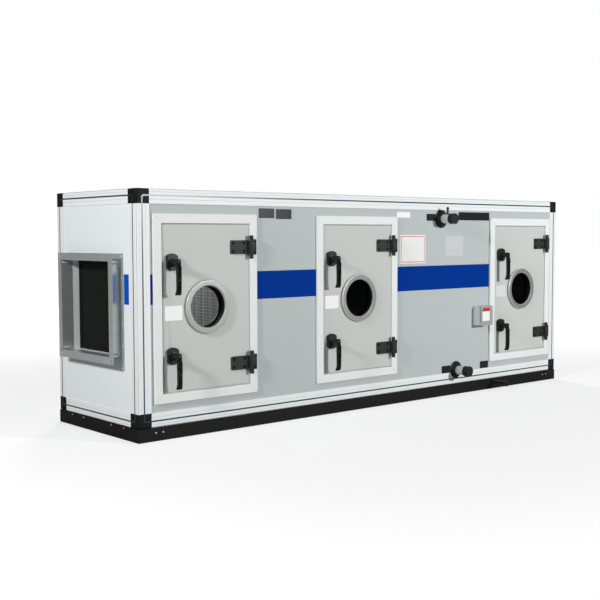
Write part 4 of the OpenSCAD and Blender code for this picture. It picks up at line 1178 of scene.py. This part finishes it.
# %% Wire grid on the filter's face
WIRE_RADIUS = 1 * mm
WIRE_SIDES = 6
GRID_IN = 24 * mm
UPRIGHT_WIRES = 20
LEVEL_WIRES = 59
bank_low, bank_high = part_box("filter_bank")
wires = bmesh.new()
wire_x = bank_low.x - WIRE_RADIUS
grid_low = bank_low + Vector((0, GRID_IN, GRID_IN))
grid_high = bank_high - Vector((0, GRID_IN, GRID_IN))
level_x = wire_x - WIRE_RADIUS
for y in spread(grid_low.y, grid_high.y, UPRIGHT_WIRES):
    rod(wires, (wire_x, y, grid_low.z), (wire_x, y, grid_high.z), WIRE_RADIUS, segments=WIRE_SIDES)
for z in spread(grid_low.z, grid_high.z, LEVEL_WIRES):
    rod(wires, (level_x, grid_low.y, z), (level_x, grid_high.y, z), WIRE_RADIUS, segments=WIRE_SIDES)
make_piece("filter_wires", wires, wire_zinc, "cabinet", "filter_sheet")
print("a grid of", UPRIGHT_WIRES + LEVEL_WIRES, "wires on the filter")

# %% Hose nut on the drain stub, as steps of start, end, radius and number of sides
NUT_STEPS = (
    (2 * mm, 14 * mm, 15 * mm, 8),
    (14 * mm, 20 * mm, 13 * mm, 32),
)
NUT_RISE = 11 * mm
NUT_ROUNDING = 0.8 * mm
drain_low, drain_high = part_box("drain_pipe")
drain_x = (drain_low.x + drain_high.x) / 2
drain_z = drain_low.z + NUT_RISE
nut = bmesh.new()
for start, end, radius, sides in NUT_STEPS:
    ring = rod(nut, (drain_x, drain_low.y + start, drain_z), (drain_x, drain_low.y + end, drain_z),
               radius, segments=sides)
    bevel(nut, edges_of(ring, is_rim), NUT_ROUNDING)
make_piece("drain_nut", nut, drain_black, "cabinet", "drain_plastic")
print("drain nut")

# %% Base screws
END_SCREWS_OUT = (105 * mm, 195 * mm)
END_SCREW_HEIGHT = 43 * mm
FRONT_SCREWS_IN = (73 * mm, 104 * mm)
FRONT_SCREW_HEIGHT = 31 * mm
BASE_SCREW_RADIUS = 3 * mm
base_screws = bmesh.new()
for side in (-1, 1):
    for out in END_SCREWS_OUT:
        for y in (-out, out):
            place = Vector((side * cabinet_high.x, y, END_SCREW_HEIGHT))
            screw_head(base_screws, place, (side, 0, 0), BASE_SCREW_RADIUS, SCREW_SIDES)
for x in FRONT_SCREWS_IN:
    for end_x in (cabinet_low.x + x, cabinet_high.x - x):
        place = Vector((end_x, cabinet_low.y, FRONT_SCREW_HEIGHT))
        screw_head(base_screws, place, (0, -1, 0), BASE_SCREW_RADIUS, SCREW_SIDES)
make_piece("base_screws", base_screws, vent_metal, "cabinet", "vent_brass")
print("base screws")

# %% [markdown]
# ## Light and floor
#
# A plain floor carries the shadow. A small lamp from the right draws the handles' shadows, another
# lights the left end, a third fills the back, and a weak one over the filter lets it show through the
# first porthole. A low, even world does the rest, at a level where a colour renders about as it is
# written. Rays that go straight to the eye, or through a clear pane, see a white world and a floor that
# glows up to white with distance. So the background is white without more light on the object.

# %% World
world = bpy.data.worlds.new("studio")
world.use_nodes = True
bpy.context.scene.world = world
WORLD_LEVEL = 0.17
sky = world.node_tree
backdrop = sky.nodes["Background"]
paths = sky.nodes.new("ShaderNodeLightPath")
seen = sky.nodes.new("ShaderNodeMath")
seen.operation = "MAXIMUM"
sky.links.new(paths.outputs["Is Camera Ray"], seen.inputs[0])
sky.links.new(paths.outputs["Is Transmission Ray"], seen.inputs[1])
level = sky.nodes.new("ShaderNodeMapRange")
level.inputs["To Min"].default_value = WORLD_LEVEL
level.inputs["To Max"].default_value = 1.0
sky.links.new(seen.outputs[0], level.inputs["Value"])
sky.links.new(level.outputs[0], backdrop.inputs["Strength"])
backdrop.inputs["Color"].default_value = (1, 1, 1, 1)
bpy.context.scene.view_settings.view_transform = "Standard"
print("world level", WORLD_LEVEL)


# %% Lamps
def lamp(name, place, target, size, power):
    data = bpy.data.lights.new(name, "AREA")
    data.shape = "DISK"
    data.size = size
    data.energy = power
    made = bpy.data.objects.new(name, data)
    bpy.context.scene.collection.objects.link(made)
    aim = (Vector(target) - Vector(place)).to_track_quat("-Z", "Y")
    made.matrix_world = Matrix.Translation(place) @ aim.to_matrix().to_4x4()


lamp("key_right", (2.2, -5.4, 1.7), (0.0, 0.0, 0.5), 0.38, 250)
lamp("key_left", (-4.4, -1.2, 2.1), (-1.0, 0.0, 0.5), 0.5, 112)
lamp("back_fill", (2.8, 4.6, 3.2), (0.0, 0.0, 0.5), 2.0, 200)
lamp("first_section", (-1.12, 0.05, 0.83), (-0.77, 0.1, 0.45), 0.1, 1.2)
print("three lamps outside, and a weak one over the filter")

# %% Floor
FLOOR_SIZE = 30.0
FLOOR_DROP = 0.5 * mm
GLOW_AT_OBJECT = 0.6
GLOW_GAIN = 0.37
GLOW_STARTS = 1.4
GLOW_ENDS = 5.0
floor_mesh = bmesh.new()
bmesh.ops.create_grid(floor_mesh, x_segments=1, y_segments=1, size=FLOOR_SIZE)
floor_data = bpy.data.meshes.new("floor")
floor_mesh.to_mesh(floor_data)
floor_mesh.free()
floor = bpy.data.objects.new("floor", floor_data)
floor.location.z = -FLOOR_DROP
bpy.context.scene.collection.objects.link(floor)
floor_paint = Finish("floor_paint", (0.4, 0.4, 0.4), 0.9, shine=0.0)
camera_ray = floor_paint.node("ShaderNodeLightPath", {}, {}, "Is Camera Ray")
clear_ray = floor_paint.node("ShaderNodeLightPath", {}, {}, "Is Transmission Ray")
seen_ray = camera_ray.most(clear_ray)
distance = floor_paint.node("ShaderNodeVectorMath", {"operation": "LENGTH"}, {0: floor_paint.point}, "Value")
glow = seen_ray * (GLOW_AT_OBJECT + GLOW_GAIN * floor_paint.smooth(distance, GLOW_STARTS, GLOW_ENDS))
floor_paint.feed("Emission Color", floor_paint.blend(glow, (0, 0, 0, 1), (1, 1, 1, 1)))
floor_paint.feed("Emission Strength", 1.0)
floor_data.materials.append(floor_paint.material)
print("floor", FLOOR_DROP / mm, "mm under the base")
